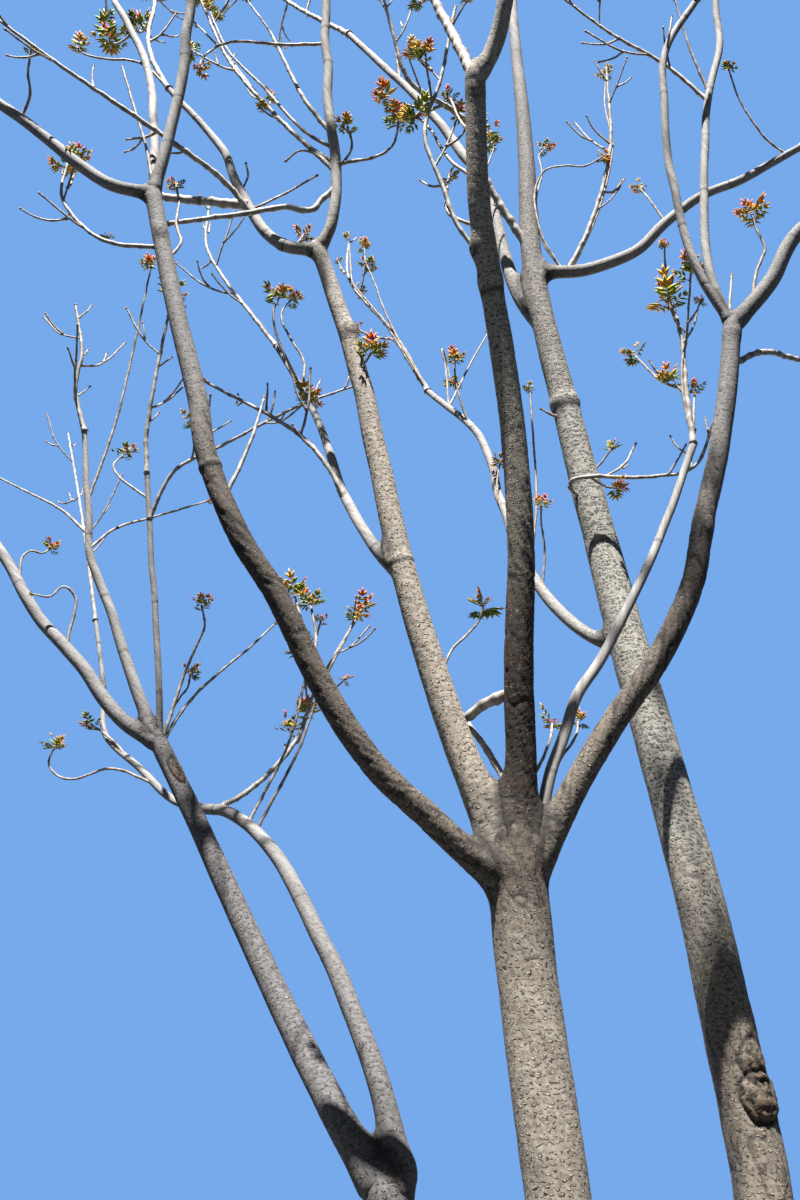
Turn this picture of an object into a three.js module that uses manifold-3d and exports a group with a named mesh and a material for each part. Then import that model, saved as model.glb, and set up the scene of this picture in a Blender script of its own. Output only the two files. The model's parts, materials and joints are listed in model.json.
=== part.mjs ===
// Tree of heaven in early spring: three leaning stems from one root crown, nearly bare
// boughs, and sprays of twigs that end in small tufts of young leaves.
// Millimetres, +Z up. The origin is at the flat cut under the main trunk, at ground level.

import * as THREE from "three";
import { mergeVertices } from "three/addons/utils/BufferGeometryUtils.js";
import Module from "manifold-3d";

const wasm = await Module();
wasm.setup();

// Gap between touching pieces, and the least room that a twig or leaf leaves round a limb
const SEAT_GAP = 0.3;
const TWIG_ROOM = 14;

// Limbs: how far apart the rings of a limb stand, and how many sides limbs of a girth have
const RING_STEP = 290;
const STEM_SIDES = 10;
const BOUGH_SIDES = 7;
const SLIM_SIDES = 5;
const STEM_GIRTH = 130;
const SLIM_GIRTH = 62;
const TIP_DOME = 0.35;

// Root flare: how much wider a stem is at the ground, how fast that fades upwards, the low
// buttresses round it, how much closer its rings stand there, and how far its skin starts
// under the ground before it is cut flat
const FLARE_SWELL = 0.5;
const FLARE_HEIGHT = 210;
const BUTTRESS_SWELL = 0.12;
const BUTTRESSES = 5;
const RING_CROWDING = 1.5;
const GROUND_DEPTH = 90;
const GROUND_SIDE = 4000;
const GROUND_THICKNESS = 1000;

// Sprays: the turn from one side twig to the next, the bend of twigs towards the light, the
// number of steps in a twig, and how far along the stem the first and the last may stand
const LEAF_TURN = 137.5;
const UPTURN = 0.3;
const KINK = 0.34;
const TWIG_STEPS = 3;
const TWIG_SIDES = 3;
const LEADER_SIDES = 4;
const FIRST_TWIG = 0.24;
const LAST_TWIG = 0.94;

// Side twigs: a least value and the most that the series adds to it, for the place within
// its share of the stem, the angle that it opens by, and its share of the longest twig
const PLACE_LEAST = 0.3;
const PLACE_SPREAD = 0.4;
const OPEN_LEAST = 38;
const OPEN_SPREAD = 24;
const TURN_SPREAD = 40;
const LENGTH_LEAST = 0.6;
const LENGTH_SPREAD = 0.4;

// Side twigs: how much less they reach at the stem's tip, the girth of the foot beside the
// stem's and of the tip, and the length that is tried where the full one isn't clear
const REACH_LOSS = 0.35;
const TWIG_SHARE = 0.62;
const TWIG_TIP = 9;
const SHORTER = 0.6;
const SAMPLE_STEP = 60;

// Seeds: how far apart those of two sprays are, and the place of the stem's own among them
const SERIES_STRIDE = 1000;
const STEM_SERIES = 999;

// Tufts: side leaves in a tuft, how far apart their roots are sunk along the twig, the angle
// that the first opens by, how much more the next does, and how much the series changes it
const SIDE_LEAVES = 2;
const LEAF_SPACING = 15;
const LEAF_SINK = 0.6;
const LEAF_OPEN = 34;
const LEAF_OPEN_STEP = 11;
const LEAF_OPEN_SPREAD = 14;

// Leaves: length of the end leaf, the least share of it that a side leaf has and the most
// that the series adds, and the shares of its length that shape the blade
const LEAF_LENGTH = 150;
const LEAF_LEAST = 0.75;
const LEAF_GROWTH = 0.45;
const LEAF_WIDTH = 0.4;
const LEAF_KEEL = 0.14;
const LEAF_WAIST = 0.55;

// Each limb: its name, what it grows from and how far along that, its girth (diameter)
// at the foot and at the tip, and its strides. A stride is a length, a lean from upright
// and a heading counted from +X towards +Y, both in degrees.
const GROUND_STEMS = [
  ["trunk", [0, 0, 0], [212, 196], [[700, 3, 255], [950, 8, 240], [710, 7, 215], [240, 6, 235]]],
  ["left_foot", [-190, 30, 0], [150, 150], [[620, 14, 165], [1070, 15, 159]]],
  [
    "right_stem", [250, 70, 0], [226, 148],
    [[670, 27, 19], [1050, 7, 30], [480, 5, 165], [490, 6, 175], [330, 9, 160], [350, 9, 165], [420, 10, 145],
     [490, 9, 145]],
  ],
];

const BOUGHS = [
  [
    "right_top", "right_stem", 1, [146, 34],
    [[570, 9, 185], [950, 9, 200], [910, 1, 90], [1070, 2, 110], [650, 6, 65]],
  ],
  [
    "bough_e", "trunk", 0.96, [98, 72],
    [[380, 26, 350], [320, 32, 350], [330, 37, 348], [290, 28, 348], [300, 16, 338], [430, 16, 350],
     [460, 11, 355]],
  ],
  [
    "bough_c", "trunk", 0.97, [114, 76],
    [[430, 8, 290], [380, 14, 270], [420, 14, 280], [530, 18, 259], [480, 22, 248], [300, 25, 251],
     [470, 22, 266]],
  ],
  [
    "bough_b", "trunk", 0.97, [122, 64],
    [[300, 19, 184], [410, 19, 188], [540, 16, 192], [510, 12, 195], [430, 12, 195], [630, 16, 187]],
  ],
  [
    "bough_a", "trunk", 0.97, [94, 68],
    [[370, 50, 198], [290, 49, 195], [330, 35, 196], [340, 29, 201], [320, 33, 197], [290, 22, 180],
     [280, 13, 180], [600, 15, 176], [490, 13, 180]],
  ],
  [
    "bough_d", "trunk", 0.95, [48, 31],
    [[450, 14, 359], [350, 21, 19], [310, 30, 11], [500, 28, 10], [550, 23, 13]],
  ],
  [
    "left_outer", "left_foot", 1, [112, 78],
    [[230, 35, 166], [440, 38, 139], [470, 33, 147], [490, 29, 162], [420, 29, 169]],
  ],
  [
    "left_inner", "left_foot", 1, [88, 46],
    [[80, 46, 346], [120, 19, 141], [170, 19, 144], [340, 28, 137], [410, 32, 141], [390, 37, 142],
     [300, 53, 147], [130, 75, 146]],
  ],
  ["bough_a_left", "bough_a", 1, [54, 36], [[180, 78, 187], [160, 54, 184], [410, 50, 187], [520, 57, 193]]],
  ["bough_a_front", "bough_a", 1, [52, 36], [[320, 10, 325], [490, 9, 305], [230, 12, 275], [850, 17, 266]]],
  ["bough_a_back", "bough_a", 1, [42, 30], [[570, 15, 119], [730, 19, 130], [660, 25, 148], [480, 35, 114]]],
  ["bough_b_left", "bough_b", 1, [54, 26], [[160, 79, 180], [430, 30, 169], [270, 21, 161], [580, 32, 167]]],
  ["bough_b_top", "bough_b", 1, [50, 34], [[130, 27, 330], [760, 5, 240], [550, 5, 245], [720, 12, 285]]],
  ["bough_k", "bough_b", 0.43, [50, 22], [[230, 35, 159], [330, 33, 129], [630, 24, 128], [600, 28, 140]]],
  ["bough_c_top", "bough_c", 1, [68, 46], [[120, 33, 336], [210, 30, 305], [700, 22, 300]]],
  ["bough_e_right", "bough_e", 1, [70, 50], [[270, 42, 347], [260, 33, 335], [510, 71, 345]]],
  [
    "bough_e_top", "bough_e", 1, [38, 29],
    [[270, 12, 180], [630, 4, 360], [440, 9, 360], [310, 16, 359], [340, 4, 360], [670, 5, 20]],
  ],
  [
    "bough_e_front", "bough_e", 1, [38, 30],
    [[240, 27, 197], [290, 14, 206], [550, 8, 250], [370, 8, 315], [330, 29, 349]],
  ],
  [
    "bough_f_right", "right_top", 0.37, [66, 35],
    [[260, 92, 354], [260, 68, 353], [370, 50, 346], [250, 75, 340], [320, 74, 335]],
  ],
  [
    "bough_f_back", "right_stem", 0.88, [58, 33],
    [[130, 61, 149], [180, 47, 143], [330, 35, 131], [550, 25, 120], [640, 22, 112], [630, 37, 133]],
  ],
  [
    "bough_f_left", "right_top", 0.28, [70, 37],
    [[280, 25, 162], [820, 12, 135], [820, 22, 145], [1260, 29, 151]],
  ],
  [
    "bough_g_left", "left_outer", 1, [66, 46],
    [[200, 56, 180], [350, 40, 177], [360, 41, 175], [410, 34, 170], [330, 41, 159]],
  ],
  [
    "bough_g_top", "left_outer", 1, [58, 24],
    [[280, 27, 184], [380, 22, 188], [300, 23, 190], [310, 10, 205], [370, 9, 200]],
  ],
  ["bough_g_right", "left_outer", 1, [30, 24], [[420, 11, 240], [520, 11, 230], [330, 10, 230]]],
  [
    "bough_h_left", "left_inner", 1, [38, 20],
    [[170, 71, 152], [310, 50, 149], [310, 49, 149], [260, 17, 129], [430, 17, 145]],
  ],
];

// Each spray of twigs: its name, its limb and how far along that, the girth of its stem,
// its strides, the number of side twigs, the longest of them, and the seed of its rule
const SPRAYS = [
  ["spray_a_left", "bough_a_left", 1, [35, 13], [[570, 38, 197], [750, 21, 206]], 4, 620, 11],
  ["spray_a_front", "bough_a_front", 1, [32, 12], [[610, 26, 287], [720, 25, 255]], 4, 640, 12],
  ["spray_a_back", "bough_a_back", 1, [27, 11], [[580, 30, 121], [700, 31, 106]], 4, 640, 13],
  [
    "spray_a_side", "bough_a", 0.91, [20, 11],
    [[240, 80, 178], [280, 43, 174], [110, 22, 166], [130, 4, 80]], 2, 260, 14,
  ],
  [
    "spray_b_left", "bough_b_left", 1, [26, 12],
    [[260, 25, 159], [230, 17, 144], [350, 12, 100], [630, 31, 113]], 4, 520, 15,
  ],
  [
    "spray_b_cross", "bough_b_left", 0.26, [27, 12],
    [[210, 47, 209], [260, 64, 206], [600, 62, 200], [300, 56, 196]], 2, 330, 16,
  ],
  ["spray_b_top", "bough_b_top", 1, [32, 12], [[560, 9, 280], [810, 8, 205]], 4, 620, 17],
  ["spray_b_up", "bough_b_top", 0.19, [24, 12], [[470, 35, 167], [500, 31, 167], [620, 21, 158]], 3, 380, 18],
  [
    "spray_k", "bough_k", 1, [22, 12],
    [[340, 32, 147], [350, 32, 147], [340, 26, 149], [360, 12, 105]], 3, 420, 19,
  ],
  ["spray_k_side", "bough_k", 0.32, [24, 12], [[150, 24, 178], [250, 34, 163], [580, 52, 169]], 2, 300, 20],
  ["spray_c_top", "bough_c_top", 1, [45, 13], [[540, 22, 299], [650, 23, 263]], 4, 640, 21],
  [
    "spray_c_left", "bough_c", 1, [42, 13],
    [[310, 17, 135], [280, 17, 150], [710, 18, 185], [830, 16, 221]], 4, 540, 22,
  ],
  [
    "spray_c_side", "bough_c", 0.77, [20, 12],
    [[150, 40, 193], [220, 18, 196], [270, 15, 197], [280, 14, 343], [330, 10, 340]], 2, 330, 23,
  ],
  ["spray_d", "bough_d", 1, [26, 12], [[280, 0, 120], [270, 2, 5], [280, 6, 180]], 3, 360, 24],
  ["spray_e_right", "bough_e_right", 1, [46, 13], [[750, 58, 329], [920, 44, 322]], 4, 680, 25],
  ["spray_e_top", "bough_e_top", 1, [27, 12], [[510, 10, 60], [730, 17, 44]], 4, 620, 26],
  ["spray_e_up", "bough_e_top", 0.49, [21, 11], [[280, 36, 181], [320, 51, 184], [250, 48, 190]], 2, 340, 27],
  ["spray_e_front", "bough_e_front", 1, [30, 12], [[530, 51, 301], [810, 42, 292]], 4, 560, 28],
  [
    "spray_e_side", "bough_e", 0.92, [26, 12],
    [[240, 53, 30], [390, 66, 44], [900, 72, 32], [800, 42, 48]], 4, 580, 29,
  ],
  ["spray_f_right", "bough_f_right", 1, [33, 12], [[690, 74, 30], [800, 56, 42], [690, 44, 58]], 5, 640, 30],
  ["spray_f_up", "bough_f_right", 0.11, [26, 12], [[220, 29, 338], [550, 17, 342], [510, 4, 305]], 3, 400, 31],
  [
    "spray_f_back", "bough_f_back", 1, [31, 12],
    [[400, 25, 145], [240, 25, 149], [530, 30, 158], [450, 13, 100]], 3, 440, 32,
  ],
  ["spray_f_left", "bough_f_left", 1, [35, 12], [[620, 38, 149], [740, 35, 144], [420, 42, 130]], 5, 620, 33],
  [
    "spray_f_mid", "right_top", 0.4, [44, 12],
    [[430, 31, 203], [370, 25, 220], [320, 70, 207], [290, 18, 202], [250, 17, 222]], 3, 400, 34,
  ],
  ["spray_top", "right_top", 1, [33, 13], [[510, 11, 50], [640, 20, 111]], 5, 700, 35],
  [
    "spray_f_low", "right_top", 0.06, [22, 12],
    [[150, 84, 225], [330, 93, 345], [200, 84, 350], [220, 28, 350]], 2, 260, 36,
  ],
  ["spray_g_left", "bough_g_left", 1, [38, 13], [[590, 48, 150], [840, 33, 130]], 5, 640, 37],
  ["spray_g_top", "bough_g_top", 1, [24, 12], [[260, 16, 194], [180, 8, 305], [250, 12, 180]], 3, 360, 38],
  ["spray_g_right", "bough_g_right", 1, [23, 12], [[170, 9, 230], [230, 11, 290], [480, 8, 315]], 2, 380, 39],
  [
    "spray_g_side", "bough_g_right", 0.82, [20, 11],
    [[250, 31, 327], [220, 64, 348], [440, 63, 351], [240, 75, 348]], 3, 300, 40,
  ],
  ["spray_h_left", "bough_h_left", 1, [20, 12], [[430, 20, 138], [510, 24, 132], [600, 26, 131]], 3, 480, 41],
  [
    "spray_h_right", "left_inner", 0.97, [24, 12],
    [[160, 57, 14], [350, 38, 19], [210, 17, 29], [470, 25, 14]], 3, 340, 42,
  ],
];

// Colours and finish of the bark and of the young leaves
const PALE_BARK = new THREE.MeshStandardMaterial({ color: 0xb9b0a2, roughness: 0.88, metalness: 0 });
const BROWN_BARK = new THREE.MeshStandardMaterial({ color: 0x8d8276, roughness: 0.9, metalness: 0 });
const YOUNG_LEAF = new THREE.MeshStandardMaterial({ color: 0xa9713a, roughness: 0.62, metalness: 0 });
const BROWN_LIMBS = new Set(["trunk", "bough_a", "bough_b", "bough_c", "bough_e"]);

const UP = new THREE.Vector3(0, 0, 1);
const ACROSS = new THREE.Vector3(1, 0, 0);
const radians = THREE.MathUtils.degToRad;

// A random series that is the same for the same seed
function seededSeries(seed) {
  let state = seed >>> 0;
  return () => {
    state = (state + 0x6d2b79f5) >>> 0;
    let mixed = Math.imul(state ^ (state >>> 15), state | 1);
    mixed ^= mixed + Math.imul(mixed ^ (mixed >>> 7), mixed | 61);
    return ((mixed ^ (mixed >>> 14)) >>> 0) / 4294967296;
  };
}

// The smooth centreline of a limb: it passes through the ends of the strides, and at each
// it points halfway between the stride before and the stride after
class LimbCurve extends THREE.Curve {
  constructor(start, strides) {
    super();
    this.joints = [start.clone()];
    for (const [length, lean, heading] of strides) {
      const step = new THREE.Vector3().setFromSphericalCoords(length, radians(lean), radians(heading));
      this.joints.push(this.joints.at(-1).clone().add(new THREE.Vector3(step.z, step.x, step.y)));
    }
    this.lengths = strides.map((stride) => stride[0]);
    this.total = this.lengths.reduce((sum, length) => sum + length, 0);
    const runs = this.lengths.map((length, i) => this.joints[i + 1].clone().sub(this.joints[i]).divideScalar(length));
    this.headings = this.joints.map((joint, i) => {
      const before = runs[Math.max(i - 1, 0)];
      const after = runs[Math.min(i, runs.length - 1)];
      return before.clone().add(after).normalize();
    });
  }

  // The stride that holds a fraction of the whole length, and how far along it that is
  locate(fraction) {
    let left = fraction * this.total;
    let i = 0;
    while (i < this.lengths.length - 1 && left > this.lengths[i]) {
      left -= this.lengths[i];
      i += 1;
    }
    return [i, Math.min(1, left / this.lengths[i])];
  }

  getPoint(fraction, target = new THREE.Vector3()) {
    const [i, s] = this.locate(fraction);
    const length = this.lengths[i];
    return target
      .set(0, 0, 0)
      .addScaledVector(this.joints[i], 2 * s ** 3 - 3 * s ** 2 + 1)
      .addScaledVector(this.headings[i], (s ** 3 - 2 * s ** 2 + s) * length)
      .addScaledVector(this.joints[i + 1], 3 * s ** 2 - 2 * s ** 3)
      .addScaledVector(this.headings[i + 1], (s ** 3 - s ** 2) * length);
  }

  getTangent(fraction, target = new THREE.Vector3()) {
    const [i, s] = this.locate(fraction);
    const length = this.lengths[i];
    return target
      .set(0, 0, 0)
      .addScaledVector(this.joints[i], 6 * s ** 2 - 6 * s)
      .addScaledVector(this.headings[i], (3 * s ** 2 - 4 * s + 1) * length)
      .addScaledVector(this.joints[i + 1], 6 * s - 6 * s ** 2)
      .addScaledVector(this.headings[i + 1], (3 * s ** 2 - 2 * s) * length)
      .normalize();
  }
}

// Two directions square to a third
function squareTo(direction) {
  const side = new THREE.Vector3().crossVectors(direction, ACROSS).normalize();
  return [side, new THREE.Vector3().crossVectors(direction, side)];
}

// A direction that opens from another by an angle, turned round it by a second angle
function opened(direction, openAngle, turn) {
  const [side, front] = squareTo(direction);
  return direction
    .clone()
    .multiplyScalar(Math.cos(openAngle))
    .addScaledVector(side, Math.cos(turn) * Math.sin(openAngle))
    .addScaledVector(front, Math.sin(turn) * Math.sin(openAngle));
}

// A closed skin over rings of points: walls between rings, and a fan to a point at each end
function closedSkin(rings, first, last) {
  const sides = rings[0].length;
  const positions = rings.flat().concat([first, last]).flatMap((point) => point.toArray());
  const firstPole = rings.length * sides;
  const index = [];
  for (let side = 0; side < sides; side += 1) {
    const next = (side + 1) % sides;
    index.push(firstPole, next, side);
    for (let ring = 0; ring + 1 < rings.length; ring += 1) {
      const low = ring * sides;
      const high = low + sides;
      index.push(low + side, low + next, high + next, low + side, high + next, high + side);
    }
    const top = (rings.length - 1) * sides;
    index.push(firstPole + 1, top + side, top + next);
  }
  const skin = new THREE.BufferGeometry();
  skin.setAttribute("position", new THREE.Float32BufferAttribute(positions, 3));
  skin.setIndex(index);
  return skin;
}

// A ring of points round a centre, square to a direction, with a radius for each angle
function ringAround(centre, direction, sides, radiusAt) {
  const [side, front] = squareTo(direction);
  return Array.from({ length: sides }, (_, i) => {
    const angle = (2 * Math.PI * i) / sides;
    const radius = radiusAt(angle);
    return centre
      .clone()
      .addScaledVector(side, Math.cos(angle) * radius)
      .addScaledVector(front, Math.sin(angle) * radius);
  });
}

// A tapering round bar along a limb's curve, grown on all sides by an allowance
function taperedBar(limb, allowance = 0) {
  const rings = [];
  const steps = Math.max(2, Math.ceil(limb.curve.total / limb.step));
  const foot = limb.curve.getPoint(0);
  const tip = limb.curve.getPoint(1);
  for (let i = 0; i <= steps; i += 1) {
    const fraction = limb.flared ? (i / steps) ** RING_CROWDING : i / steps;
    const centre = limb.curve.getPoint(fraction);
    const direction = limb.curve.getTangent(fraction);
    const swell = limb.flared ? Math.exp(-centre.z / FLARE_HEIGHT) : 0;
    if (i === 0) centre.addScaledVector(direction, -(limb.flared ? GROUND_DEPTH : allowance));
    if (i === steps) centre.addScaledVector(direction, allowance);
    const radius = girthAt(limb, fraction) / 2;
    rings.push(
      ringAround(centre, direction, limb.sides, (angle) => {
        const buttress = BUTTRESS_SWELL * Math.cos(BUTTRESSES * angle) * swell;
        return radius * (1 + FLARE_SWELL * swell + buttress) + allowance;
      }),
    );
  }
  foot.addScaledVector(limb.curve.getTangent(0), -(limb.flared ? GROUND_DEPTH : allowance));
  tip.addScaledVector(limb.curve.getTangent(1), (TIP_DOME * girthAt(limb, 1)) / 2 + allowance);
  return closedSkin(rings, foot, tip);
}

// The diameter of a limb at a fraction of its length
function girthAt(limb, fraction) {
  return THREE.MathUtils.lerp(limb.girth[0], limb.girth[1], fraction);
}

// The three points round a leaf where it is widest: its two edges and its keel
function bladeRing(leaf) {
  const [side, front] = squareTo(leaf.direction);
  const waist = leaf.root.clone().addScaledVector(leaf.direction, leaf.length * LEAF_WAIST);
  const width = (leaf.length * LEAF_WIDTH) / 2;
  return [
    waist.clone().addScaledVector(side, width),
    waist.clone().addScaledVector(front, leaf.length * LEAF_KEEL),
    waist.clone().addScaledVector(side, -width),
  ];
}

// The point of a leaf
function bladeTip(leaf) {
  return leaf.root.clone().addScaledVector(leaf.direction, leaf.length);
}

// One leaf: a long thin blade with a keel under it, widest past its middle
function leafBlade(leaf) {
  return closedSkin([bladeRing(leaf)], leaf.root, bladeTip(leaf));
}

// A solid for joining and cutting, from a closed geometry
function solidFrom(geometry) {
  const merged = mergeVertices(geometry, 1e-4);
  return new wasm.Manifold(
    new wasm.Mesh({
      numProp: 3,
      vertProperties: new Float32Array(merged.attributes.position.array),
      triVerts: new Uint32Array(merged.index.array),
    }),
  );
}

// A geometry with flat faces, from a solid
function geometryFrom(solid) {
  const mesh = solid.getMesh();
  const geometry = new THREE.BufferGeometry();
  geometry.setAttribute("position", new THREE.Float32BufferAttribute(mesh.vertProperties, 3));
  geometry.setIndex(Array.from(mesh.triVerts));
  geometry.computeVertexNormals();
  return geometry;
}

// The largest separate body of a solid, so that a loose scrap or a sealed hollow goes
function largestBody(solid) {
  const bodies = solid.decompose();
  return bodies.reduce((best, body) => (body.volume() > best.volume() ? body : best));
}

// Whether the boxes round two solids meet
function boxesMeet(one, other) {
  const a = one.boundingBox();
  const b = other.boundingBox();
  return [0, 1, 2].every((axis) => a.min[axis] < b.max[axis] && b.min[axis] < a.max[axis]);
}

// A solid with room cut in it for each grown neighbour
function seated(solid, neighbours) {
  const cut = neighbours.reduce((left, other) => (boxesMeet(left, other) ? left.subtract(other) : left), solid);
  return largestBody(cut);
}

// Everything under the ground plane, as one block
function groundBlock() {
  const block = new THREE.BoxGeometry(GROUND_SIDE, GROUND_SIDE, GROUND_THICKNESS);
  block.translate(0, 0, -GROUND_THICKNESS / 2);
  block.deleteAttribute("normal");
  block.deleteAttribute("uv");
  return solidFrom(block);
}

// The limbs by name, each with its curve, girth and number of sides
function planLimbs() {
  const limbs = new Map();
  for (const [name, foot, girth, strides] of GROUND_STEMS) {
    const curve = new LimbCurve(new THREE.Vector3(...foot), strides);
    limbs.set(name, { name, curve, girth, sides: STEM_SIDES, step: RING_STEP, flared: true });
  }
  for (const [name, parent, at, girth, strides] of BOUGHS) {
    const curve = new LimbCurve(limbs.get(parent).curve.getPoint(at), strides);
    const slimSides = girth[0] < SLIM_GIRTH ? SLIM_SIDES : BOUGH_SIDES;
    const sides = girth[0] > STEM_GIRTH ? STEM_SIDES : slimSides;
    limbs.set(name, { name, curve, girth, sides, step: RING_STEP, flared: false });
  }
  return limbs;
}

// The sprays by name, each with the curve of its stem
function planSprays(limbs) {
  return SPRAYS.map(([name, parent, at, girth, strides, twigs, reach, seed]) => {
    const curve = new LimbCurve(limbs.get(parent).curve.getPoint(at), strides);
    return { name, curve, girth, twigs, reach, seed, sides: LEADER_SIDES, step: RING_STEP, flared: false };
  });
}

// The distance of a point from a curve, less the curve's radius there
function distanceFrom(point, limb) {
  const samples = (limb.samples ??= limb.curve.getPoints(Math.ceil(limb.curve.total / SAMPLE_STEP)));
  const segment = new THREE.Line3();
  const nearest = new THREE.Vector3();
  let least = Infinity;
  for (let i = 0; i + 1 < samples.length; i += 1) {
    segment.set(samples[i], samples[i + 1]);
    const along = segment.closestPointToPointParameter(point, true);
    segment.at(along, nearest);
    const radius = girthAt(limb, (i + along) / (samples.length - 1)) / 2;
    least = Math.min(least, nearest.distanceTo(point) - radius);
  }
  return least;
}

// Whether a stretch from one point to another keeps off the limbs and nearer to its own
// spray's stem than to any other's
function staysClear(from, to, spray, limbs, sprays) {
  return [0.5, 1].every((part) => {
    const point = from.clone().lerp(to, part);
    const own = distanceFrom(point, spray) + TWIG_ROOM;
    const offLimbs = limbs.every((limb) => distanceFrom(point, limb) > TWIG_ROOM);
    return offLimbs && sprays.every((other) => other === spray || distanceFrom(point, other) > own);
  });
}

// The points of one side twig, bending upwards step by step
function twigPoints(start, direction, length, draw) {
  const points = [start.clone()];
  const heading = direction.clone();
  for (let step = 0; step < TWIG_STEPS; step += 1) {
    points.push(points.at(-1).clone().addScaledVector(heading, length / TWIG_STEPS));
    const kink = new THREE.Vector3(draw() - 0.5, draw() - 0.5, draw() - 0.5);
    heading.addScaledVector(UP, UPTURN).addScaledVector(kink, KINK).normalize();
  }
  return points;
}

// The side twigs of a spray, spiralling up its stem, without those that would not keep clear
function growTwigs(spray, limbs, sprays) {
  const twigs = [];
  for (let i = 0; i < spray.twigs; i += 1) {
    const draw = seededSeries(spray.seed * SERIES_STRIDE + i);
    const place = (i + PLACE_LEAST + PLACE_SPREAD * draw()) / spray.twigs;
    const fraction = THREE.MathUtils.lerp(FIRST_TWIG, LAST_TWIG, place);
    const turn = radians(LEAF_TURN * (i + spray.seed) + TURN_SPREAD * (draw() - 0.5));
    const open = radians(OPEN_LEAST + OPEN_SPREAD * draw());
    const share = LENGTH_LEAST + LENGTH_SPREAD * draw();
    const length = spray.reach * share * (1 - REACH_LOSS * fraction);
    const start = spray.curve.getPoint(fraction);
    const direction = opened(spray.curve.getTangent(fraction), open, turn);
    const full = twigPoints(start, direction, length, draw);
    const short = full.map((point) => start.clone().lerp(point, SHORTER));
    const clear = [full, short].find((points) =>
      points.slice(1).every((point, step) => staysClear(points[step], point, spray, limbs, sprays)),
    );
    if (clear) twigs.push({ points: clear, girth: [girthAt(spray, fraction) * TWIG_SHARE, TWIG_TIP], draw });
  }
  return twigs;
}

// The side leaves of one tuft, spiralling down from the end of a twig
function growTuft(end, direction, draw, spray, limbs, sprays) {
  const leaves = [];
  for (let i = 0; i < SIDE_LEAVES; i += 1) {
    const turn = radians(LEAF_TURN * i + 360 * (i ? 0 : draw()));
    const spread = radians(LEAF_OPEN + LEAF_OPEN_STEP * i + LEAF_OPEN_SPREAD * (draw() - 0.5));
    const length = LEAF_LENGTH * (LEAF_LEAST + LEAF_GROWTH * draw());
    const root = end.clone().addScaledVector(direction, -LEAF_SPACING * (i + LEAF_SINK));
    const leaf = { root, direction: opened(direction, spread, turn), length };
    const tip = root.clone().addScaledVector(leaf.direction, length);
    if (staysClear(end, tip, spray, limbs, sprays)) leaves.push(leaf);
  }
  return leaves;
}

// The bar of one side twig, whose tip widens into the end leaf of its tuft
function twigBar(twig) {
  const rings = twig.points.map((point, i) => {
    const before = twig.points[Math.max(i - 1, 0)];
    const after = twig.points[Math.min(i + 1, TWIG_STEPS)];
    const direction = after.clone().sub(before).normalize();
    const radius = THREE.MathUtils.lerp(twig.girth[0], twig.girth[1], i / TWIG_STEPS) / 2;
    return ringAround(point, direction, TWIG_SIDES, () => radius);
  });
  const end = endLeaf(twig);
  return closedSkin([...rings, bladeRing(end)], twig.points[0], bladeTip(end));
}

// The leaf that continues a side twig
function endLeaf(twig) {
  const end = twig.points.at(-1);
  const direction = end.clone().sub(twig.points.at(-2)).normalize();
  return { root: end, direction, length: LEAF_LENGTH };
}

// One spray as one solid: its stem, its side twigs and their tufts, fused
function sprayingSolid(spray, limbs, sprays) {
  const twigs = growTwigs(spray, limbs, sprays);
  const draw = seededSeries(spray.seed * SERIES_STRIDE + STEM_SERIES);
  const stemTuft = growTuft(spray.curve.getPoint(1), spray.curve.getTangent(1), draw, spray, limbs, sprays);
  const leaves = twigs.flatMap((twig) => {
    const end = twig.points.at(-1);
    const direction = end.clone().sub(twig.points.at(-2)).normalize();
    return growTuft(end, direction, twig.draw, spray, limbs, sprays);
  });
  const bars = [taperedBar(spray), ...twigs.map(twigBar)];
  const blades = [...stemTuft, ...leaves].map(leafBlade);
  return wasm.Manifold.union([...bars, ...blades].map(solidFrom));
}

// A named mesh of one limb or spray
function namedMesh(name, solid, material) {
  const mesh = new THREE.Mesh(geometryFrom(solid), material.clone());
  mesh.name = name;
  return mesh;
}

const group = new THREE.Group();
const limbPlan = planLimbs();
const limbList = [...limbPlan.values()];
const sprayList = planSprays(limbPlan);
const ground = groundBlock();
const grownLimbs = [];

for (const limb of limbList) {
  const neighbours = limb.flared ? [...grownLimbs, ground] : grownLimbs;
  const solid = seated(solidFrom(taperedBar(limb)), neighbours);
  grownLimbs.push(solidFrom(taperedBar(limb, SEAT_GAP)));
  group.add(namedMesh(limb.name, solid, BROWN_LIMBS.has(limb.name) ? BROWN_BARK : PALE_BARK));
}

for (const spray of sprayList) {
  const solid = seated(sprayingSolid(spray, limbList, sprayList), grownLimbs);
  group.add(namedMesh(spray.name, solid, YOUNG_LEAF));
}

export default group;
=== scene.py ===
"""A tree of heaven in early spring: three leaning stems, nearly bare boughs, young leaves at the twig tips.

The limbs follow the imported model's strides, each in its skin of bark. Each spray is grown again by the
same seeded rule, and goes on to finer twigs and to tufts of small feathered leaves. Lengths in the tables
are millimetres, and what is made from them is in metres, with +Z up.
"""

import itertools
import json
import logging
import math
from collections.abc import Callable
from dataclasses import dataclass, field, replace
from enum import Enum

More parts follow.
